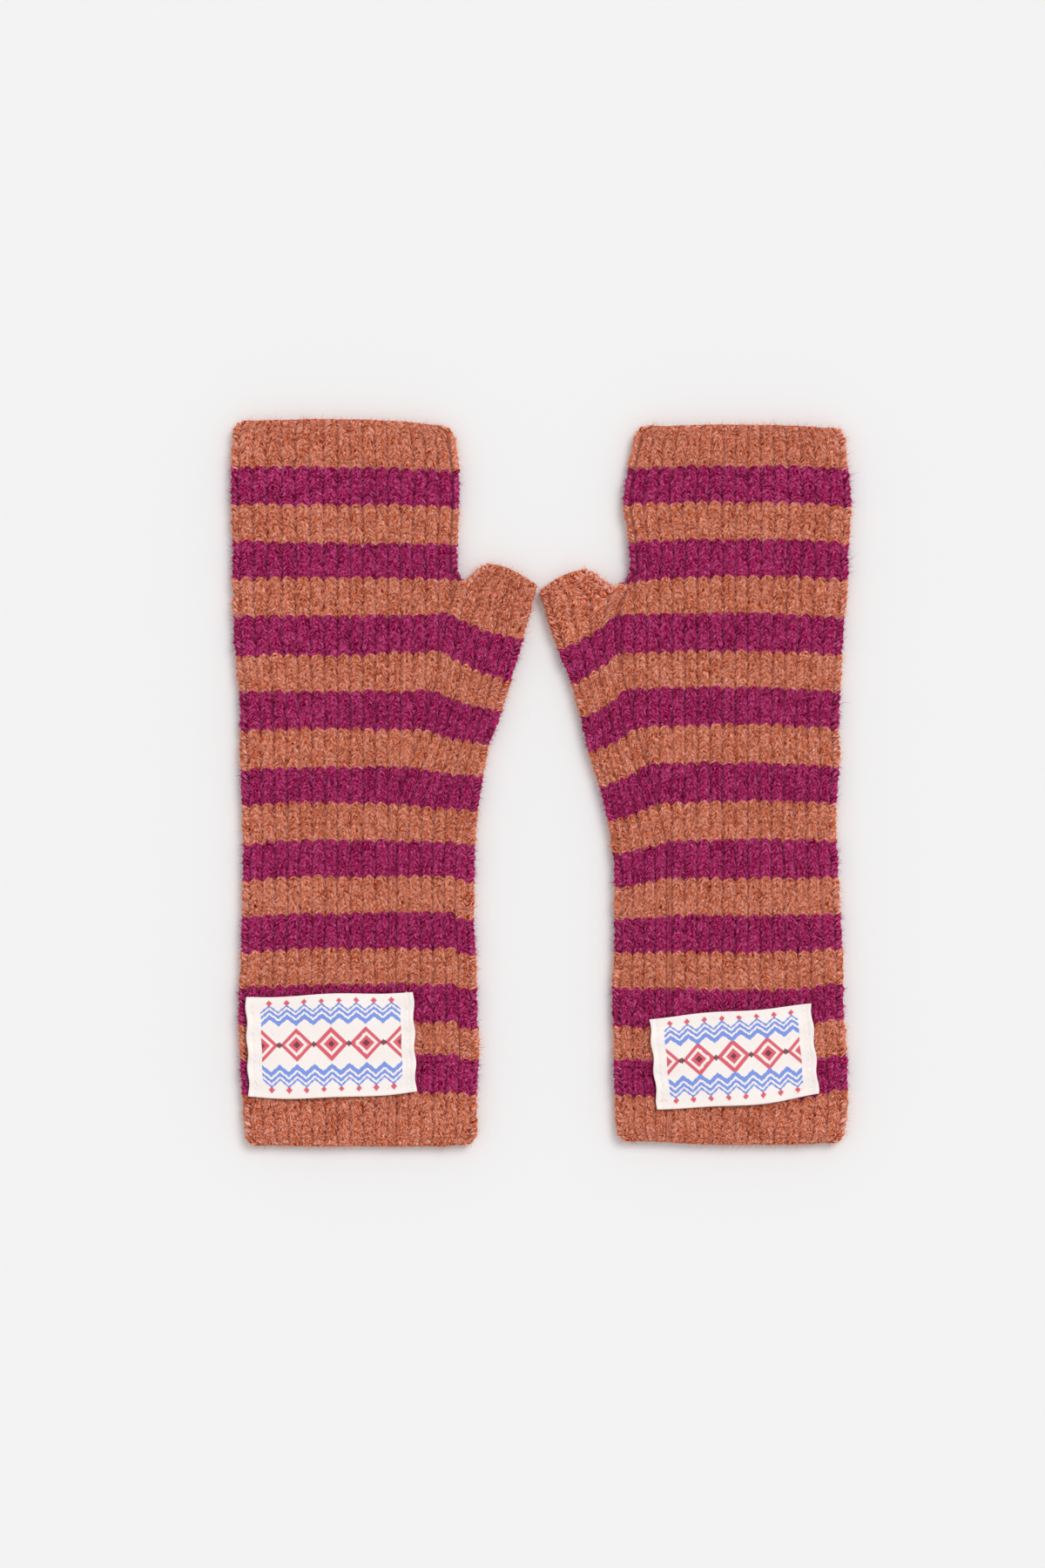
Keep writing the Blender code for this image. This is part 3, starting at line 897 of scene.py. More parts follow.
        # The rims of the cuff, the finger end, the thumb hole, and the crotch beside that hole.
        rims = [*((names, under, first) for names in (front, back, *thumb)),
                *((names, over, end) for names in (front, crotch, back)),
                *((names, under, end) for names in thumb), (crotch, over, first)]
        for names, part, row in rims:
            self.close(shell, around(outer, names, part).rows(row),
                       around(inner, names, part).rows(row), top=row is end)

    def cut(self) -> tuple[float, float, float]:
        """Return the width, the height and the area of the tube opened out, in millimetres."""
        rows = self.plan.sections
        widths = [2 * ((row.thumb_x if row.course <= FORK_COURSE else row.inner_x) - row.outer_x)
                  for row in rows]
        area = sum((rows[number + 1].hand_y - row.hand_y) * (widths[number] + widths[number + 1]) / 2
                   for number, row in enumerate(rows[:-1]))
        return max(widths), rows[-1].hand_y, area


@dataclass(frozen=True)
class StallKnitter(Knitter):
    """Knits a thumb stall: a short tube that carries on from the gusset."""

    taper: float = 0.92  # the tube's area over that of its widest course all along

    @property
    def end_courses(self) -> float:
        """The courses over which the stall's open end thins out."""
        return self.gauge.stall_end_courses

    def build(self) -> KnitShell:
        """Build the shell.

        Returns:
            The closed shell, in millimetres.
        """
        gauge, ribs = self.gauge, self.plan.gusset_ribs
        shell = KnitShell()
        per = gauge.rows_per_course
        end = FORK_COURSE + self.plan.stall_end.courses
        stitch = np.arange(int(self.plan.stall_end.courses * per) + 1)[:, None] / per + FORK_COURSE
        thick = self.thickness(stitch, -math.inf, end)

        front_columns = [*columns_at(range(1, ribs), gauge.front_lines), ribs]
        patches = []
        for layer, columns, groove in ((Layer.FRONT, front_columns, ribs),
                                       (Layer.BACK, front_columns[::-2], 0)):
            rib, up = np.broadcast_arrays(np.array(columns, float)[None, :], stitch)
            place = self.thumb_place(rib, self.course_at(rib, up, end))
            grid = self.flat(shell, layer, place, rib, up - STRIPE_COURSES, thick)
            patches.append(Patch(grid, place, layer))
            rib, up = np.broadcast_arrays((groove + gauge.fold_shares)[None, :], stitch)
            patches.append(self.thumb_fold(shell, rib, up, thick, far=layer is Layer.FRONT, end=end,
                                           shift=STRIPE_COURSES))
        outer = joined(*(patch.grid for patch in patches), patches[0].grid.columns(0, 1))
        shell.skin(outer)
        rows = np.array([0, len(stitch) - 1])
        linings = [self.lining(shell, patch.place[rows], patch.layer,
                               None if patch.outward is None else patch.outward[rows],
                               patch.grid.rows(rows), patch.down) for patch in patches]
        inner = joined(*linings, linings[0].columns(0, 1))
        shell.skin(inner, inward=True)
        self.close(shell, outer.rows(rows[:1]), inner.rows(slice(0, 1)), top=False)
        self.close(shell, outer.rows(rows[1:]), inner.rows(slice(1, 2)), top=True)
        return shell

    def cut(self) -> tuple[float, float, float]:
        """Return the width, the height and the area of the tube opened out, in millimetres."""
        row = next(row for row in self.plan.sections if row.course == FORK_COURSE)
        across = 2 * (row.thumb_x - row.inner_x - 1)
        up = self.plan.stall_end.courses * self.gauge.course
        return across, up, across * up * self.taper


def add_node(tree: bpy.types.NodeTree, kind: str, *inputs: Any, out: int | str = 0,
             **settings: Any) -> Socket:
    """Add a node with its settings and links.

    Args:
        tree: The tree to add to.
        kind: The node's type, or in capitals what a Math node does.
        inputs: Values, or outputs that feed the inputs, in the inputs' order; a dict gives them
            by the inputs' names or numbers.
        out: The output to return.
        settings: The node's properties.

    Returns:
        One of the node's outputs, or its first input if it has none.
    """
    if kind.isupper():
        kind, settings = "ShaderNodeMath", {"operation": kind, **settings}
    node = tree.nodes.new(kind)
    for name, value in settings.items():
        setattr(node, name, value)
    for number, given in enumerate(inputs):
        for key, value in (given if isinstance(given, dict) else {number: given}).items():
            if isinstance(value, Socket):
                tree.links.new(value, node.inputs[key])
            else:
                node.inputs[key].default_value = value
    return node.outputs[out] if node.outputs else node.inputs[0]


def shape_with(tree: bpy.types.NodeTree, subject: bpy.types.Object, values: dict[str, Any]) -> None:
    """Run a Geometry Nodes tree on an object and keep what it makes as the object's mesh.

    Args:
        tree: The tree.
        subject: The object.
        values: The tree's inputs by name.
    """
    modifier = subject.modifiers.new(tree.name, "NODES")
    modifier.node_group = tree
    for item in tree.interface.items_tree:
        if item.item_type == "SOCKET" and item.in_out == "INPUT" and item.name in values:
            modifier[item.identifier] = values[item.name]
    evaluated = subject.evaluated_get(bpy.context.evaluated_depsgraph_get())
    made = bpy.data.meshes.new_from_object(evaluated)
    subject.modifiers.remove(modifier)
    for slot in reversed(range(len(made.materials))):
        if made.materials[slot] is None:  # a mesh primitive's empty slot
            made.materials.pop(index=slot)
    old, name = subject.data, subject.data.name
    subject.data = made
    bpy.data.meshes.remove(old)
    made.name = name


def new_tree(name: str, inputs: dict[str, Any]) -> tuple[bpy.types.NodeTree, dict[str, Socket]]:
    """Start a Geometry Nodes tree.

    Args:
        name: The tree's name.
        inputs: Each input's name with its default value, which is None for a material.

    Returns:
        The tree, and its inputs' sockets by name.
    """
    kinds = {float: "Float", int: "Int", type(None): "Material"}
    tree = bpy.data.node_groups.new(name, "GeometryNodeTree")
    tree.interface.new_socket("Geometry", in_out="INPUT", socket_type="NodeSocketGeometry")
    tree.interface.new_socket("Geometry", in_out="OUTPUT", socket_type="NodeSocketGeometry")
    for label, value in inputs.items():
        socket = tree.interface.new_socket(label, in_out="INPUT",
                                           socket_type=f"NodeSocket{kinds[type(value)]}")
        if value is not None:
            socket.default_value = value
    start = tree.nodes.new("NodeGroupInput")
    return tree, {socket.name: socket for socket in start.outputs if socket.name}


def new_material(name: str, values: dict[str, Any]) -> tuple[bpy.types.Material, bpy.types.Node]:
    """Start a material.

    Args:
        name: The material's name.
        values: By name, the shader's inputs that are the same all over the surface.

    Returns:
        The material and its shader.
    """
    material = bpy.data.materials.new(name)
    material.use_nodes = True
    shader = material.node_tree.nodes["Principled BSDF"]
    for key, value in values.items():
        shader.inputs[key].default_value = value
    return material, shader


def linear(colour: str) -> tuple[float, float, float, float]:
    """Turn a hex sRGB colour into a linear one.

    Args:
        colour: The colour as "#rrggbb".

    Returns:
        Its red, green, blue and alpha.
    """
    parts = [int(colour[place:place + 2], 16) / 255 for place in (1, 3, 5)]
    return (*(part / 12.92 if part <= 0.04045 else ((part + 0.055) / 1.055) ** 2.4
              for part in parts), 1.0)


def new_object(name: str, data: Any) -> bpy.types.Object:
    """Make an object of a mesh, a camera or a lamp, at the origin.

    Args:
        name: The object's name.
        data: The mesh, camera or lamp.

    Returns:
        The object.
    """
    made = bpy.data.objects.new(name, data)
    bpy.context.scene.collection.objects.link(made)
    return made


class Legs(NamedTuple):
    """Sockets that tell where a point is among the stitches' legs."""

    rib: Socket  # across the knit, in ribs
    stitch: Socket  # up the knit, in courses
    strand: Socket  # the same, as seen along the twisted strands
    aside: Socket  # from 0 in the middle of a rib to 1 in its grooves
    around: Socket  # from 0 in the middle of a leg to 1 where the next one begins
    number: Socket  # the leg's whole number across the knit
    course: Socket  # and up it


def find_legs(tree: bpy.types.NodeTree, rib: Socket, stitch: Socket,
              twist: Socket | float) -> Legs:
    """Add nodes that find the stitches' legs, moved a little out of their rows.

    Args:
        tree: The tree to add to, of shape or of material nodes.
        rib: The socket that counts ribs.
        stitch: The socket that counts courses.
        twist: The courses that the strands within a leg climb.

    Returns:
        The sockets.
    """
    make = partial(add_node, tree)
    noise = make("ShaderNodeTexNoise", {"Vector": make("ShaderNodeCombineXYZ", rib, stitch),
                                        "Scale": 0.85, "Detail": 2.0, "Roughness": 0.6}, out="Color")
    sideways = make("ShaderNodeSeparateXYZ", noise, out="X")
    upwards = sideways.node.outputs["Y"]
    # They stray by up to 0.18 of a rib to either side, and by half a course up or down.
    rib, stitch = (make("ADD", make("MULTIPLY_ADD", stray, reach, -reach / 2), count)
                   for count, stray, reach in ((rib, sideways, 0.36), (stitch, upwards, 1.0)))
    aside = make("ABSOLUTE", make("MULTIPLY_ADD", make("FRACT", rib), 2.0, -1.0))
    strand = make("SUBTRACT", stitch, make("MULTIPLY", make("SUBTRACT", 1.0, aside), twist))
    around = make("ABSOLUTE", make("MULTIPLY_ADD", make("FRACT", strand), 2.0, -1.0))
    number = make("FLOOR", make("MULTIPLY", rib, 2.0))
    return Legs(rib, stitch, strand, aside, around, number, make("FLOOR", strand))


def odd_stripe(tree: bpy.types.NodeTree, stitch: Socket) -> Socket:
    """Add nodes that give 1 on the magenta stripes and 0 on the orange ones.

    Args:
        tree: The tree to add to, of shape or of material nodes.
        stitch: The socket that counts courses.

    Returns:
        The socket.
    """
    make = partial(add_node, tree)
    above = make("SUBTRACT", stitch, float(EDGE_BAND_COURSES - STRIPE_COURSES))
    stripe = make("FLOOR", make("DIVIDE", above, float(STRIPE_COURSES)))
    stripe = make("MINIMUM", make("MAXIMUM", stripe, 0.0), float(STRIPE_COUNT - 1))
    return make("MODULO", stripe, 2.0)


@dataclass(frozen=True)
class Relief:
    """How the ribs and stitches stand over the cloth's grooves."""

    roundness: float = 2.8  # higher makes the ribs fuller and the grooves narrower
    valley: float = 0.46  # depth between a rib's two legs, as a share of its height
    dip: float = 0.5  # depth between one stitch and the next
    uneven: float = 0.34  # how much one leg's height differs from another's
    fill: float = 0.4  # how far the grooves are closed here and there
    leg_gap: float = 0.44  # how far from a rib's middle the valley between its legs reaches
    dip_power: float = 2.6  # higher makes the dips between stitches narrower
    wobble: float = 1.3 * MM
    wobble_size: float = 19 * MM
    wobble_up: float = 0.35  # how much of the wobble goes up and down

    def tree(self, gauge: Gauge) -> bpy.types.NodeTree:
        """Build the tree that raises the relief from the attributes rib, stitch and rise.

        Args:
            gauge: The knit's sizes.

        Returns:
            The tree.
        """
        tree, given = new_tree("Rib relief", {
            "Roundness": self.roundness, "Valley": self.valley, "Twist": gauge.twist,
            "Dip": self.dip, "Uneven": self.uneven, "Fill": self.fill, "Wobble": self.wobble,
            "Wobble Size": self.wobble_size, "Seed": 0.0, "Wool": None})
        make = partial(add_node, tree)
        rib, stitch, rise = (make("GeometryNodeInputNamedAttribute", name, data_type="FLOAT")
                             for name in ("rib", "stitch", "rise"))
        legs = find_legs(tree, rib, stitch, given["Twist"])
        swell = make("SUBTRACT", 1.0, make("POWER", legs.aside, given["Roundness"]))
        swell = make("SQRT", make("MAXIMUM", swell, 0.0))
        # Here and there the wool bridges a groove.
        along = make("ShaderNodeCombineXYZ", make("ROUND", legs.rib),
                     make("MULTIPLY", legs.stitch, 0.6), given["Seed"])
        bridge = make("ShaderNodeTexNoise", {"Vector": along, "Scale": 1.0, "Detail": 2.0})
        bridge = make("ShaderNodeMapRange", bridge, 0.35, 0.7, 0.0, given["Fill"])
        swell = make("MAXIMUM", swell, bridge)
        centre = make("SUBTRACT", 1.0, make("DIVIDE", legs.aside, self.leg_gap), use_clamp=True)
        valley = make("MULTIPLY", centre, given["Valley"])
        dip = make("MULTIPLY", make("POWER", legs.around, self.dip_power), given["Dip"])
        chance = make("ShaderNodeTexWhiteNoise", make("ShaderNodeCombineXYZ", legs.number,
                                                      legs.course, given["Seed"]),
                      noise_dimensions="3D")
        chance = make("MULTIPLY", make("SUBTRACT", chance, 0.5), given["Uneven"])
        shape = make("SUBTRACT", make("ADD", 1.0, chance), make("ADD", valley, dip))
        height = make("MULTIPLY", make("MULTIPLY", swell, shape), rise)
        offset = make("ShaderNodeVectorMath", make("GeometryNodeInputNormal"), {"Scale": height},
                      operation="SCALE")
        raised = make("GeometryNodeSetPosition", given["Geometry"], {"Offset": offset})
        # The whole cloth strays a little sideways, and less upwards.
        spread = make("ShaderNodeVectorMath", make("GeometryNodeInputPosition"),
                      {"Scale": make("DIVIDE", 1.0, given["Wobble Size"])}, operation="SCALE")
        spread = make("ShaderNodeVectorMath", spread, (1.0, 1.0, 0.0), operation="MULTIPLY")
        noise = make("ShaderNodeTexNoise", {"Vector": spread, "W": given["Seed"], "Scale": 1.0,
                                            "Detail": 2.0}, out="Color", noise_dimensions="4D")
        stray = make("ShaderNodeVectorMath", noise, (0.5, 0.5, 0.5), operation="SUBTRACT")
        stray = make("ShaderNodeVectorMath", stray, (1.0, 1.0, self.wobble_up),
                     operation="MULTIPLY")
        stray = make("ShaderNodeVectorMath", stray, {"Scale": given["Wobble"]}, operation="SCALE")
        moved = make("GeometryNodeSetPosition", raised, {"Offset": stray})
        knit = make("GeometryNodeRealizeInstances", moved)
        make("NodeGroupOutput", make("GeometryNodeSetMaterial", knit, {"Material": given["Wool"]}))
        return tree


@dataclass(frozen=True)
class WoolFinish:
    """Two-ply sheep's wool, spun from fibres of several shades and knitted in two colours.

    It is matt all over, with almost no highlight. Its plies give the eye pale flecks and darker
    streaks along each leg, and painted shade darkens its colour in the grooves and where legs meet.
    """

    orange: tuple[str, str, str] = ("#eb7948", "#821800", "#fcd4c9")  # yarn, painted shade and darker fibres, pale flecks
    magenta: tuple[str, str, str] = ("#bd0056", "#3a000f", "#de74b2")
    roughness: float = 0.95
    specular: float = 0.12
    streaks: tuple[float, float] = (1.2, 2.4)  # to each millimetre, across and along the strands
    flecks: tuple[float, float] = (0.9, 1.7)
    streak_contrast: float = 11.0
    leg_contrast: float = 0.8
    ply_depth: float = 0.28 * MM

    def material(self, gauge: Gauge) -> bpy.types.Material:
        """Make the knit's material, which reads the corner map "Knit".

        Args:
            gauge: The knit's sizes.

        Returns:
            The material.
        """
        material, shader = new_material("striped_wool", {
            "Roughness": self.roughness, "Specular IOR Level": self.specular})
        tree = material.node_tree
        make = partial(add_node, tree)
        knit = make("ShaderNodeUVMap", uv_map="Knit")
        even = make("ShaderNodeSeparateXYZ", knit, out="X")
        legs = find_legs(tree, even, even.node.outputs["Y"], gauge.twist)
        # Fibres run along each leg, so the speckle is stretched across the rib.
        grain, flecks = (
            make("ShaderNodeTexNoise", {"Vector": make(
                "ShaderNodeCombineXYZ", make("MULTIPLY", even, gauge.rib_pitch * across),
                make("MULTIPLY", legs.strand, gauge.course * along), layer),
                "Scale": 1.0, "Detail": detail, "Roughness": rough})
            for (across, along), layer, detail, rough in ((self.streaks, 0.0, 2.0, 0.85),
                                                          (self.flecks, 7.0, 1.0, 0.5)))
        flecks = make("ShaderNodeMapRange", flecks, 0.55, 0.68, 0.0, 0.68)
        chance = make("ShaderNodeTexWhiteNoise",
                      make("ShaderNodeCombineXYZ", legs.number, legs.course), noise_dimensions="2D")
        tone = make("ADD", make("MULTIPLY", make("SUBTRACT", grain, 0.5), self.streak_contrast),
                    make("MULTIPLY", make("SUBTRACT", chance, 0.5), self.leg_contrast))
        # Painted shade: each leg is a rounded lozenge, its colour darkened where it meets its
        # neighbours and in the grooves.
        half = make("FRACT", make("MULTIPLY", legs.rib, 2.0))
        across = make("ABSOLUTE", make("MULTIPLY_ADD", half, 2.0, -1.0))
        edge = make("ADD", make("POWER", across, 3.0), make("POWER", legs.around, 3.0))
        painted_leg_gap_shade = make("ShaderNodeMapRange", edge, 0.55, 1.7, 0.0, 0.75)
        # Painted shade in the grooves, mottled by the grain.
        groove = make("MULTIPLY", make("POWER", legs.aside, 3.5), make("MULTIPLY", grain, 1.8))
        painted_shade_and_dark_streaks = make("SUBTRACT", make("MAXIMUM", groove, painted_leg_gap_shade), tone, use_clamp=True)
        light = make("MULTIPLY", make("SUBTRACT", tone, 0.3), 0.55)
        light = make("MAXIMUM", light, flecks, use_clamp=True)
        colours = []
        # Each yarn is mixed towards its shade tint for painted shade and darker streaks, and towards
        # its pale flecks.
        for yarn, shade, pale in (self.orange, self.magenta):
            colour = linear(yarn)
            for share, tint in ((painted_shade_and_dark_streaks, shade), (light, pale)):
                colour = make("ShaderNodeMix", {0: share, 6: colour, 7: linear(tint)}, out=2,
                              data_type="RGBA")
            colours.append(colour)
        striped = make("ShaderNodeMix", {0: odd_stripe(tree, legs.stitch), 6: colours[0],
                                         7: colours[1]}, out=2, data_type="RGBA")
        tree.links.new(striped, shader.inputs["Base Color"])
        # Ply lines twist across the legs, one way on a rib's left leg and the other on its right.
        turn = make("FRACT", legs.rib)
        lean = make("MULTIPLY", make("SIGN", make("SUBTRACT", turn, 0.5)), turn)
        ply = make("ADD", make("MULTIPLY", lean, 5.0), make("MULTIPLY", legs.strand, 2.0))
        ply = make("SINE", make("MULTIPLY", ply, 2 * math.pi))
        relief = make("ADD", make("MULTIPLY", ply, 0.22), make("MULTIPLY", grain, 1.6))
        bump = make("ShaderNodeBump", {"Height": relief, "Strength": 0.8,
                                       "Distance": self.ply_depth})
        tree.links.new(bump, shader.inputs["Normal"])
        return material


@dataclass(frozen=True)
class Fuzz:
    """The wool's loose fibres, in metres."""

    density: float  # for each square metre of the cloth's surface
    length: float
    thickness: float
    segments: int

    @property
    def values(self) -> dict[str, Any]:
        """The tree's inputs."""
        return {"Density": self.density, "Length": self.length, "Thickness": self.thickness,
                "Segments": self.segments}

    @staticmethod
    def tree() -> bpy.types.NodeTree:
        """Build the tree that grows fibres on a knit and leaves out the knit.

        Returns:
            The tree.
        """
        tree, given = new_tree("Wool fuzz", {
            "Density": 1.0, "Length": 1.0, "Thickness": 1.0, "Segments": 2, "Seed": 0,
            "Orange": None, "Magenta": None})
        make = partial(add_node, tree)
        rise, stitch = (make("GeometryNodeInputNamedAttribute", name, data_type="FLOAT")
                        for name in ("rise", "stitch"))
        outside = make("FunctionNodeCompare", rise, 0.1 * MM, operation="GREATER_THAN")
        # Few fibres stand on the side that lies down, and most on the ribs' flanks.
        upwards = make("ShaderNodeSeparateXYZ", make("GeometryNodeInputNormal"), out="Z")
        share = make("MULTIPLY", make("ShaderNodeMapRange", upwards, -0.7, 0.1, 0.05, 1.5),
                     make("ShaderNodeMapRange", upwards, 0.3, 0.8, 1.0, 0.5))
        points = make("GeometryNodeDistributePointsOnFaces", {
            "Mesh": given["Geometry"], "Selection": outside, "Seed": given["Seed"],
            "Density": make("MULTIPLY", share, given["Density"])})
        # Three tapering fibres, bent in three ways, from which each point gets one.
        root = make("DIVIDE", given["Thickness"], given["Length"])
        spike = make("GeometryNodeMeshCone", {
            "Vertices": 3, "Side Segments": given["Segments"], "Radius Top": 0.0,
            "Radius Bottom": root, "Depth": 1.0})
        along = make("ShaderNodeSeparateXYZ", make("GeometryNodeInputPosition"), out="Z")
        fibres = []
        for bend, tip in ((0.9, -0.85), (0.3, 0.12), (-0.7, 0.9)):
            aside = make("MULTIPLY", make("MULTIPLY_ADD", along, tip, bend), along)
            fibres.append(make("GeometryNodeSetPosition", spike,
                               {"Offset": make("ShaderNodeCombineXYZ", aside)}))
        kinds = make("GeometryNodeGeometryToInstance")
        for fibre in fibres:
            tree.links.new(fibre, kinds.node.inputs[0])
        turn = make("FunctionNodeRandomValue", (0.35, 0.0, 0.0), (1.45, 0.0, 2 * math.pi),
                    {"Seed": given["Seed"]}, data_type="FLOAT_VECTOR")
        spin = make("ShaderNodeSeparateXYZ", turn, out="Z")
        rotation = points.node.outputs["Rotation"]
        for angles in ({2: spin}, {0: spin.node.outputs["X"]}):
            rotation = make("FunctionNodeRotateRotation", rotation,
                            make("ShaderNodeCombineXYZ", angles), rotation_space="LOCAL")
        size = make("FunctionNodeRandomValue", {2: 0.35, 3: 1.25, "Seed": given["Seed"]}, out=1,
                    data_type="FLOAT")
        size = make("MULTIPLY", size, given["Length"])
        hairs = make("GeometryNodeInstanceOnPoints", {
            "Points": points, "Instance": kinds, "Pick Instance": True, "Rotation": rotation,
            "Scale": size})
        hairs = make("GeometryNodeRealizeInstances", hairs)
        # Fibres that meet the surface below lie down on it.
        laid = make("ShaderNodeVectorMath", make("GeometryNodeInputPosition"),
                    (-1.0, -1.0, 0.05 * MM), operation="MAXIMUM")
        hairs = make("GeometryNodeSetPosition", hairs, {"Position": laid})
        hairs = make("GeometryNodeSetMaterial", hairs, {"Material": given["Orange"]})
        hairs = make("GeometryNodeSetMaterial", hairs, odd_stripe(tree, stitch), given["Magenta"])
        make("NodeGroupOutput", hairs)
        return tree


FUZZ = {  # thicker than real fibres, which would be too fine to show in the render
    "down": Fuzz(950_000.0, 2.3 * MM, 0.07 * MM, 1),
    "strays": Fuzz(24_000.0, 4.6 * MM, 0.055 * MM, 6),
}


@dataclass(frozen=True)
class LabelWeave:
    """A label of polyester satin, woven with a small repeating ornament, in millimetres.

    Its long floats give the eye a soft lustre, and its colours change from thread to thread.
    """

    cream: str = "#fff5f0"
    rose: str = "#e0485e"
    blue: str = "#6f90e6"
    maroon: str = "#73233a"
    roughness: float = 0.48
    sheen: float = 0.15
    thread: float = 0.34  # coarser than the real one, so that it shows in the render
    repeat: float = 12.8  # of the diamonds, and twice that of the zigzags
    margin: float = 5.0  # bare at both short ends
    cloth: float = 0.4  # thickness
    step: float = 0.5  # between the sheet's points
    clearance: float = 0.4  # over the rib tops
    arch: float = 0.75
    hem: float = 3.6  # width of the fold under both short ends
    hem_height: float = 0.4
    pucker: float = 0.34  # along the sewing
    pucker_pitch: float = 9.3
    waves: float = 0.3  # all over
    drawn: float = 0.3  # how far the sewing draws the short ends in and out
    drawn_pitch: float = 11.0
    bow: float = 1.5  # of the lower long edge
    edge_waves: float = 0.35
    sewing_line: float = 2.3  # from each short end
    sewing_depth: float = 0.5
    stitch_pitch: float = 2.5

    def build(self, plan: MittenPlan, gauge: Gauge) -> bpy.types.Object:
        """Build the label as a thin closed sheet that arches over the ribs.

        Args:
            plan: The mitten's plan.
            gauge: The knit's sizes, for the height of the rib tops.

        Returns:
            The label's object, with the corner map "Weave" in millimetres.
        """
        width, height = plan.label_size
        across = np.linspace(-width / 2, width / 2, round(width / self.step) + 1)[None, :]
        up = np.linspace(-height / 2, height / 2, round(height / self.step) + 1)[:, None]
        across, up = np.broadcast_arrays(across, up)
        to_end = width / 2 - np.abs(across)
        share = across / width + 0.5
        z = gauge.front_base + gauge.front_rise + self.clearance
        z = z + self.arch * np.sin(np.pi * share) ** 2
        z += self.hem_height * ease((self.hem - to_end) / 0.7)
        z += self.pucker * np.exp(-to_end / 7.0) * np.sin(
            2 * np.pi * up / self.pucker_pitch + plan.seed)
        z += self.waves * np.sin(across / 8.0 + plan.seed) * np.sin(up / 6.0 + 1.3 * plan.seed)
        z -= self.sewing_depth * np.exp(-((to_end - self.sewing_line) / 0.8) ** 2)
        # The lower edge bows, and the short ones are drawn in where they are sewn.
        edge = np.clip(-2 * up / height, 0, 1) ** 2
        bowed = up - self.bow * edge * np.sin(np.pi * share)
        bowed += self.edge_waves * np.sin(3 * np.pi * share + plan.seed) * np.abs(
            2 * up / height) ** 3
        drawn = self.drawn * np.sin(2 * np.pi * up / self.drawn_pitch + 2.0 * plan.seed)
        drawn = across + drawn * np.exp(-to_end / 5.0) * np.sign(across)
        turn = math.radians(plan.label_tilt)
        x = plan.label_centre[0] + drawn * math.cos(turn) - bowed * math.sin(turn)
        y = plan.label_centre[1] + drawn * math.sin(turn) + bowed * math.cos(turn)
        columns = np.abs(to_end - self.sewing_line) < self.step / 2
        rows = np.arange(len(up))[:, None] % round(self.stitch_pitch / self.step) == 2
        shell = KnitShell()
        top = shell.points(np.stack([x, y, z + self.cloth], axis=-1), across, up,
                           (columns & rows).astype(float))
        under = shell.points(np.stack([x, y, z], axis=-1), across, up, 0.0)
        shell.skin(top)
        shell.skin(under, inward=True)
        for last, order in ((0, 1), (-1, -1)):
            ends = [Grid(*(values[last][None, :] for values in grid)) for grid in (under, top)]
            shell.skin(Grid(*(np.concatenate(values) for values in zip(*ends[::order]))))
            sides = [Grid(*(values[:, last][:, None] for values in grid)) for grid in (under, top)]
            shell.skin(joined(*sides[::order]))
        mesh = shell.mesh(f"{plan.side}_label_weave", plan.mirrored, plan.place)
        mesh.uv_layers[0].name = "Weave"
        mesh.attributes["rise"].name = "sewn"
        return new_object(mesh.name, mesh)

    def material(self, width: float, height: float, name: str) -> bpy.types.Material:
        """Make the label's material: bands of diamonds, zigzags and dots in whole threads.

        Args:
            width: The label's width.
            height: Its height.
            name: The material's name.

        Returns:
            The material.
        """
        material, shader = new_material(name, {"Roughness": self.roughness,
                                               "Sheen Weight": self.sheen})
        tree = material.node_tree
        make = partial(add_node, tree)
        weave = make("ShaderNodeUVMap", uv_map="Weave")
        exact = make("ShaderNodeSeparateXYZ", weave, out="X")
        threads = make("ShaderNodeVectorMath", weave, (self.thread, self.thread, 1.0),
                       operation="SNAP")
        across = make("ShaderNodeSeparateXYZ", threads, out="X")
        up = across.node.outputs["Y"]
        away = make("ABSOLUTE", up)
        large, between, zigzag, dots = (
            make("PINGPONG", make("ADD", across, shift), repeat / 2)
            for repeat in (self.repeat, self.repeat / 2) for shift in (0.0, repeat / 2))
        diamond, small = make("ADD", large, away), make("ADD", between, away)
        layers = [(tint, make("LESS_THAN", shape, size)) for tint, shape, size in (
            (self.rose, diamond, 6.2), (self.cream, diamond, 4.3), (self.rose, diamond, 2.9),
            (self.maroon, diamond, 1.3), (self.maroon, small, 1.2))]
        reach = height / 2
        for side in (1.0, -1.0):
            for low, half in ((reach - 10.4, 0.9), (reach - 8.0, 0.6), (reach - 6.2, 0.4)):
                line = make("SUBTRACT", make("MULTIPLY", up, side),
                            make("MULTIPLY_ADD", zigzag, 0.8, low))
                layers.append((self.blue, make("COMPARE", line, 0.0, half)))
            dot = make("ABSOLUTE", make("SUBTRACT", up, side * (reach - 2.6)))
            layers.append((self.rose, make("LESS_THAN", make("ADD", dots, dot), 1.1)))
        # A motif's floats stand apart, so that a little of the ground shows between them.
        floats = make("SINE", make("MULTIPLY", across, 2 * math.pi / (2.4 * self.thread)))
        floats = make("MULTIPLY_ADD", floats, 0.05, 0.95)
        inside = make("LESS_THAN", make("ABSOLUTE", across), width / 2 - self.margin)
        colour = linear(self.cream)
        for tint, mask in layers:
            mask = make("MULTIPLY", make("MULTIPLY", mask, inside), floats)
            colour = make("ShaderNodeMix", {0: mask, 6: colour, 7: linear(tint)}, out=2,
                          data_type="RGBA")
        tree.links.new(colour, shader.inputs["Base Color"])
        # Satin floats: fine ridges up the label, broken by the picks across it.
        ridges = make("SINE", make("MULTIPLY", exact, 2 * math.pi / self.thread))
        picks = make("SINE", make("MULTIPLY", exact.node.outputs["Y"],
                                  2 * math.pi / (1.6 * self.thread)))
        relief = make("ADD", ridges, make("MULTIPLY", picks, 0.5))
        bump = make("ShaderNodeBump", {"Height": relief, "Strength": 0.35, "Distance": 0.06 * MM})
        tree.links.new(bump, shader.inputs["Normal"])
        return material


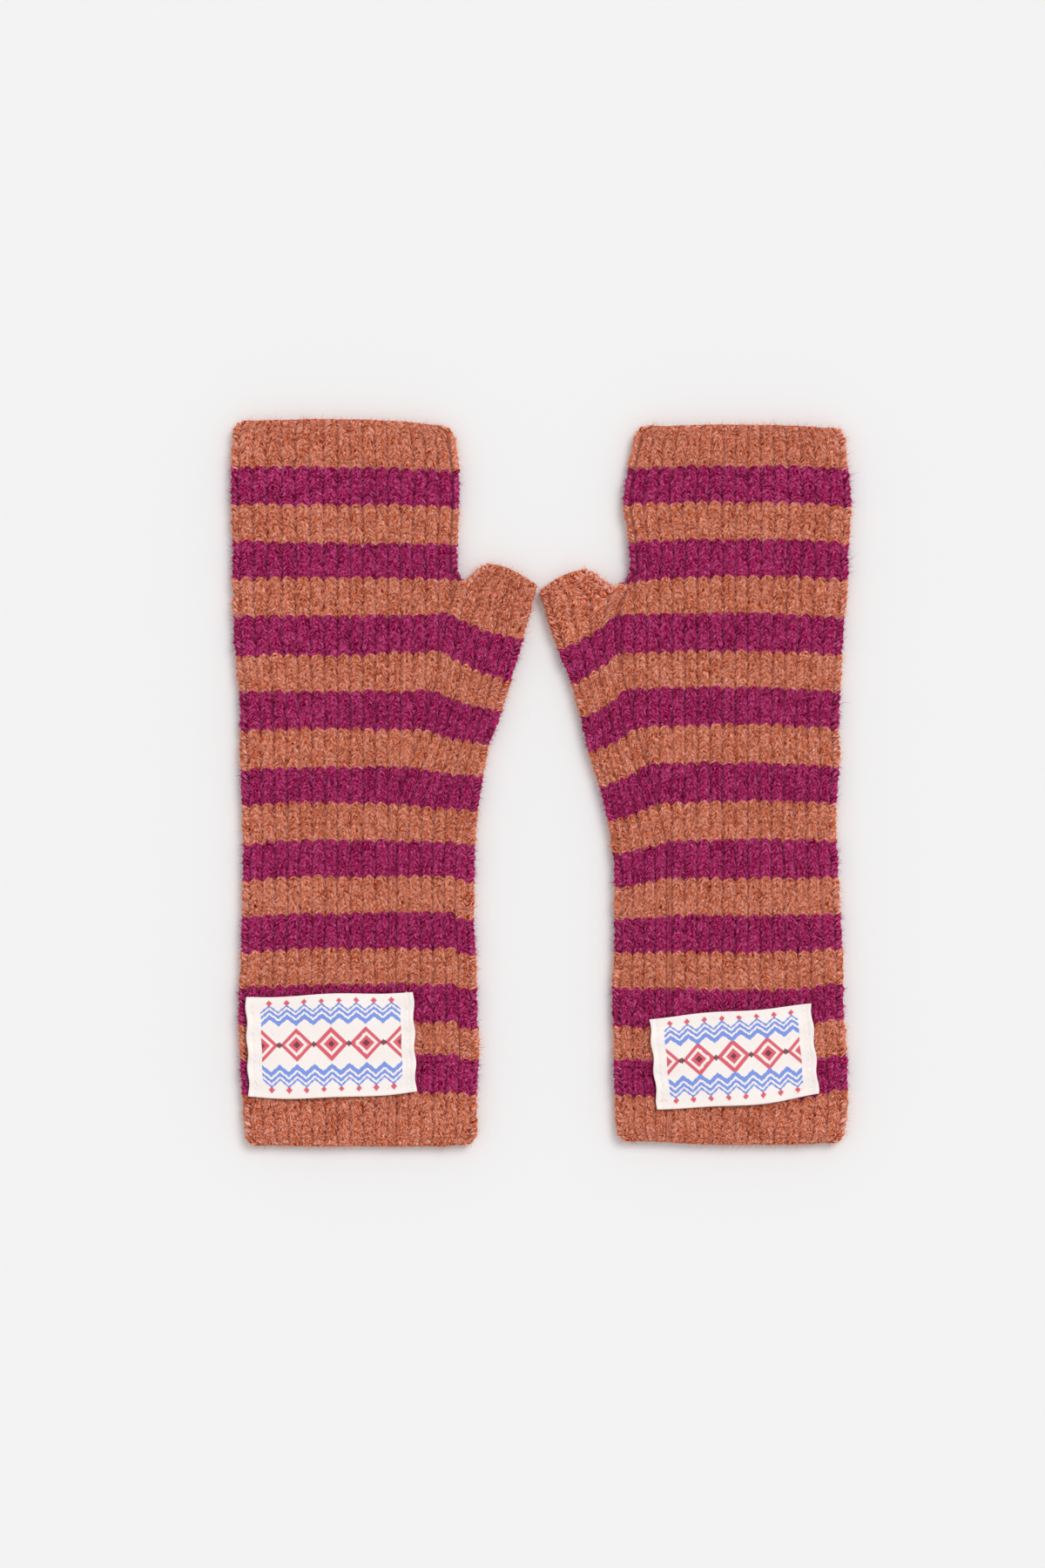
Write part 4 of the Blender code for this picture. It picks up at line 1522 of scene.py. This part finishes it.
@dataclass(frozen=True)
class Sewing:
    """The small stitches that hold a label."""

    length: float = 1.7 * MM
    radius: float = 0.22 * MM
    marked: float = 0.5 * MM  # the mark at a stitch is above this

    def tree(self) -> bpy.types.NodeTree:
        """Build the tree that sets a stitch at each vertex marked "sewn" and leaves out the rest.

        Returns:
            The tree.
        """
        tree, given = new_tree("Label sewing", {
            "Length": self.length, "Radius": self.radius, "Turn": 0.0, "Seed": 0, "Thread": None})
        make = partial(add_node, tree)
        sewn = make("GeometryNodeInputNamedAttribute", "sewn", data_type="FLOAT")
        picked = make("FunctionNodeCompare", sewn, self.marked, operation="GREATER_THAN")
        points = make("GeometryNodeMeshToPoints", given["Geometry"], picked)
        path = make("GeometryNodeCurveQuadraticBezier", {
            "Resolution": 6, "Start": (0.0, -0.5, -0.14), "Middle": (0.0, 0.0, 0.32),
            "End": (0.0, 0.5, -0.14)})
        ring = make("GeometryNodeCurvePrimitiveCircle", {
            "Resolution": 6, "Radius": make("DIVIDE", given["Radius"], given["Length"])})
        stitch = make("GeometryNodeCurveToMesh", {
            "Curve": path, "Profile Curve": ring, "Fill Caps": True})
        stray, size = (make("FunctionNodeRandomValue", {2: low, 3: high, "Seed": given["Seed"]},
                            out=1, data_type="FLOAT") for low, high in ((-0.3, 0.3), (0.75, 1.15)))
        turn = make("ShaderNodeCombineXYZ", {2: make("ADD", stray, given["Turn"])})
        row = make("GeometryNodeInstanceOnPoints", {
            "Points": points, "Instance": stitch, "Rotation": turn,
            "Scale": make("MULTIPLY", size, given["Length"])})
        row = make("GeometryNodeRealizeInstances", row)
        row = make("GeometryNodeSetMaterial", row, {"Material": given["Thread"]})
        make("NodeGroupOutput", row)
        return tree


@dataclass(frozen=True)
class PlainFinish:
    """A material with one colour."""

    name: str
    colour: str
    roughness: float = 0.9
    specular: float = 0.3

    def material(self) -> bpy.types.Material:
        """Make the material."""
        return new_material(self.name, {
            "Base Color": linear(self.colour), "Roughness": self.roughness,
            "Specular IOR Level": self.specular})[0]


FINISHES = {
    # Loose sheep's wool fibres, seen singly: matt, and paler than the yarn, so the knit looks hairy.
    "orange fuzz": PlainFinish("orange_wool_fibre", "#e58b60", 0.9, 0.1),
    "magenta fuzz": PlainFinish("magenta_wool_fibre", "#ac1860", 0.9, 0.1),
    # Spun polyester thread: smoother than the wool, so its stitches stand out white.
    "thread": PlainFinish("sewing_thread", "#fbf7f4", 0.5),
}


@dataclass(frozen=True)
class Mitten:
    """One mitten: its two knits, the fuzz on them, and the label that is sewn on."""

    plan: MittenPlan
    gauge: Gauge
    finishes: dict[str, bpy.types.Material]
    trees: dict[str, bpy.types.NodeTree]

    def attach(self, piece: bpy.types.Object, part: str = "") -> None:
        """Put a piece on the pair's body.

        Args:
            piece: The piece.
            part: Which of the mitten's solids it stands for, if any.
        """
        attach(piece, "root")
        if part:
            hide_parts(f"{self.plan.side}_{part}")
        log.info("%s: %d faces", piece.name, len(piece.data.polygons))

    def grown(self, name: str, base: bpy.types.Object, tree: str,
              values: dict[str, Any]) -> bpy.types.Object:
        """Make a piece that a tree grows on another piece.

        Args:
            name: The new piece's name.
            base: The piece that it grows on.
            tree: The tree's name.
            values: The tree's inputs by name, without the seed.

        Returns:
            The new piece.
        """
        piece = new_object(name, base.data.copy())
        piece.data.materials.clear()
        shape_with(self.trees[tree], piece, {"Seed": self.plan.seed, **values})
        self.attach(piece)
        return piece

    def knit(self, part: str, knitter: BodyKnitter | StallKnitter) -> bpy.types.Object:
        """Knit a tube and raise its ribs; its cut all round is worked out but not kept.

        Args:
            part: The solid that it stands for.
            knitter: What knits it.

        Returns:
            The knit.
        """
        plan = self.plan
        mesh = knitter.build().mesh(f"{plan.side}_{part}_knit", plan.mirrored, plan.place)
        piece = new_object(mesh.name, mesh)
        shape_with(self.trees["relief"], piece, {"Seed": float(plan.seed),
                                                 "Wool": self.finishes["wool"]})
        self.attach(piece, part)
        across, up, area = knitter.cut()
        return piece

    def sew_label(self) -> None:
        """Lay the label on a knit and sew it on.
        """
        plan, weave = self.plan, LabelWeave()
        label = weave.build(plan, self.gauge)
        label.data.materials.append(weave.material(*plan.label_size, f"{plan.side}_woven_label"))
        self.attach(label, "label")
        turn = math.radians(-plan.label_tilt if plan.mirrored else plan.label_tilt)
        sewing = self.grown(f"{plan.side}_label_sewing", label, "sewing",
                            {"Turn": turn, "Thread": self.finishes["thread"]})

    def build(self) -> None:
        """Build and dress every piece."""
        body = self.knit("body", BodyKnitter(self.plan, self.gauge))
        thumb = self.knit("thumb", StallKnitter(self.plan, self.gauge))
        for knit in (body, thumb):
            for kind, fuzz in FUZZ.items():
                self.grown(knit.name.replace("knit", kind), knit, "fuzz", {
                    "Orange": self.finishes["orange fuzz"],
                    "Magenta": self.finishes["magenta fuzz"], **fuzz.values})
        self.sew_label()


@dataclass(frozen=True)
class Studio:
    """The white table, the light and the camera, in metres."""

    # Heavy white paper: matt, so the wool's soft shade lies on it without a gleam.
    paper: PlainFinish = PlainFinish("white_paper", "#f4f4f4")
    table_reach: float = 3.0
    table_drop: float = 0.2 * MM
    lens: float = 100.0  # millimetres
    distance: float = 1.6
    cloth_height: float = 6 * MM  # where the photo's scale holds
    fill: float = 0.66
    key: float = 1.24
    key_from: tuple[float, float, float] = (0.42, 0.52, 1.0)
    key_spread: float = 28.0  # degrees

    def build_table(self) -> None:
        """Lay the white surface under the mittens."""
        corners = [(x * self.table_reach, y * self.table_reach, -self.table_drop)
                   for x, y in ((-1, -1), (1, -1), (1, 1), (-1, 1))]
        mesh = bpy.data.meshes.new("table")
        mesh.from_pydata(corners, [], [(0, 1, 2, 3)])
        mesh.materials.append(self.paper.material())
        new_object("table", mesh)

    def build_camera(self) -> None:
        """Hang the camera straight above, so that the frame is the photo's."""
        data = bpy.data.cameras.new("camera")
        data.lens = self.lens
        data.sensor_fit = "VERTICAL"
        seen = PHOTO_SIZE[1] * PHOTO_PIXEL
        data.sensor_height = seen * self.lens / (self.distance - self.cloth_height)
        data.sensor_width = data.sensor_height * PHOTO_SIZE[0] / PHOTO_SIZE[1]
        camera = new_object("camera", data)
        camera.location = (*PHOTO_MIDDLE, self.distance)
        bpy.context.scene.camera = camera

    def build_light(self) -> None:
        """Light the table evenly, with a little more from the upper right."""
        world = bpy.data.worlds.new("studio")
        world.use_nodes = True
        background = world.node_tree.nodes["Background"]
        background.inputs["Color"].default_value = (1, 1, 1, 1)
        background.inputs["Strength"].default_value = self.fill
        bpy.context.scene.world = world
        lamp = bpy.data.lights.new("softbox", "SUN")
        lamp.energy, lamp.angle = self.key, math.radians(self.key_spread)
        box = new_object("softbox", lamp)
        box.rotation_mode = "QUATERNION"
        box.rotation_quaternion = Vector(self.key_from).to_track_quat("Z", "Y")
        bpy.context.scene.view_settings.view_transform = "Standard"

    def build(self) -> None:
        """Build the whole set."""
        self.build_table()
        self.build_camera()
        self.build_light()


def main() -> None:
    """Build the pair and lay it in the studio."""
    logging.basicConfig(level=logging.INFO, format="%(message)s")
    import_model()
    gauge = Gauge()
    finishes = {name: finish.material() for name, finish in FINISHES.items()}
    finishes["wool"] = WoolFinish().material(gauge)
    trees = {"relief": Relief().tree(gauge), "fuzz": Fuzz.tree(), "sewing": Sewing().tree()}
    for plan in PLANS:
        Mitten(plan, gauge, finishes, trees).build()
    Studio().build()


if __name__ == "__main__":
    main()
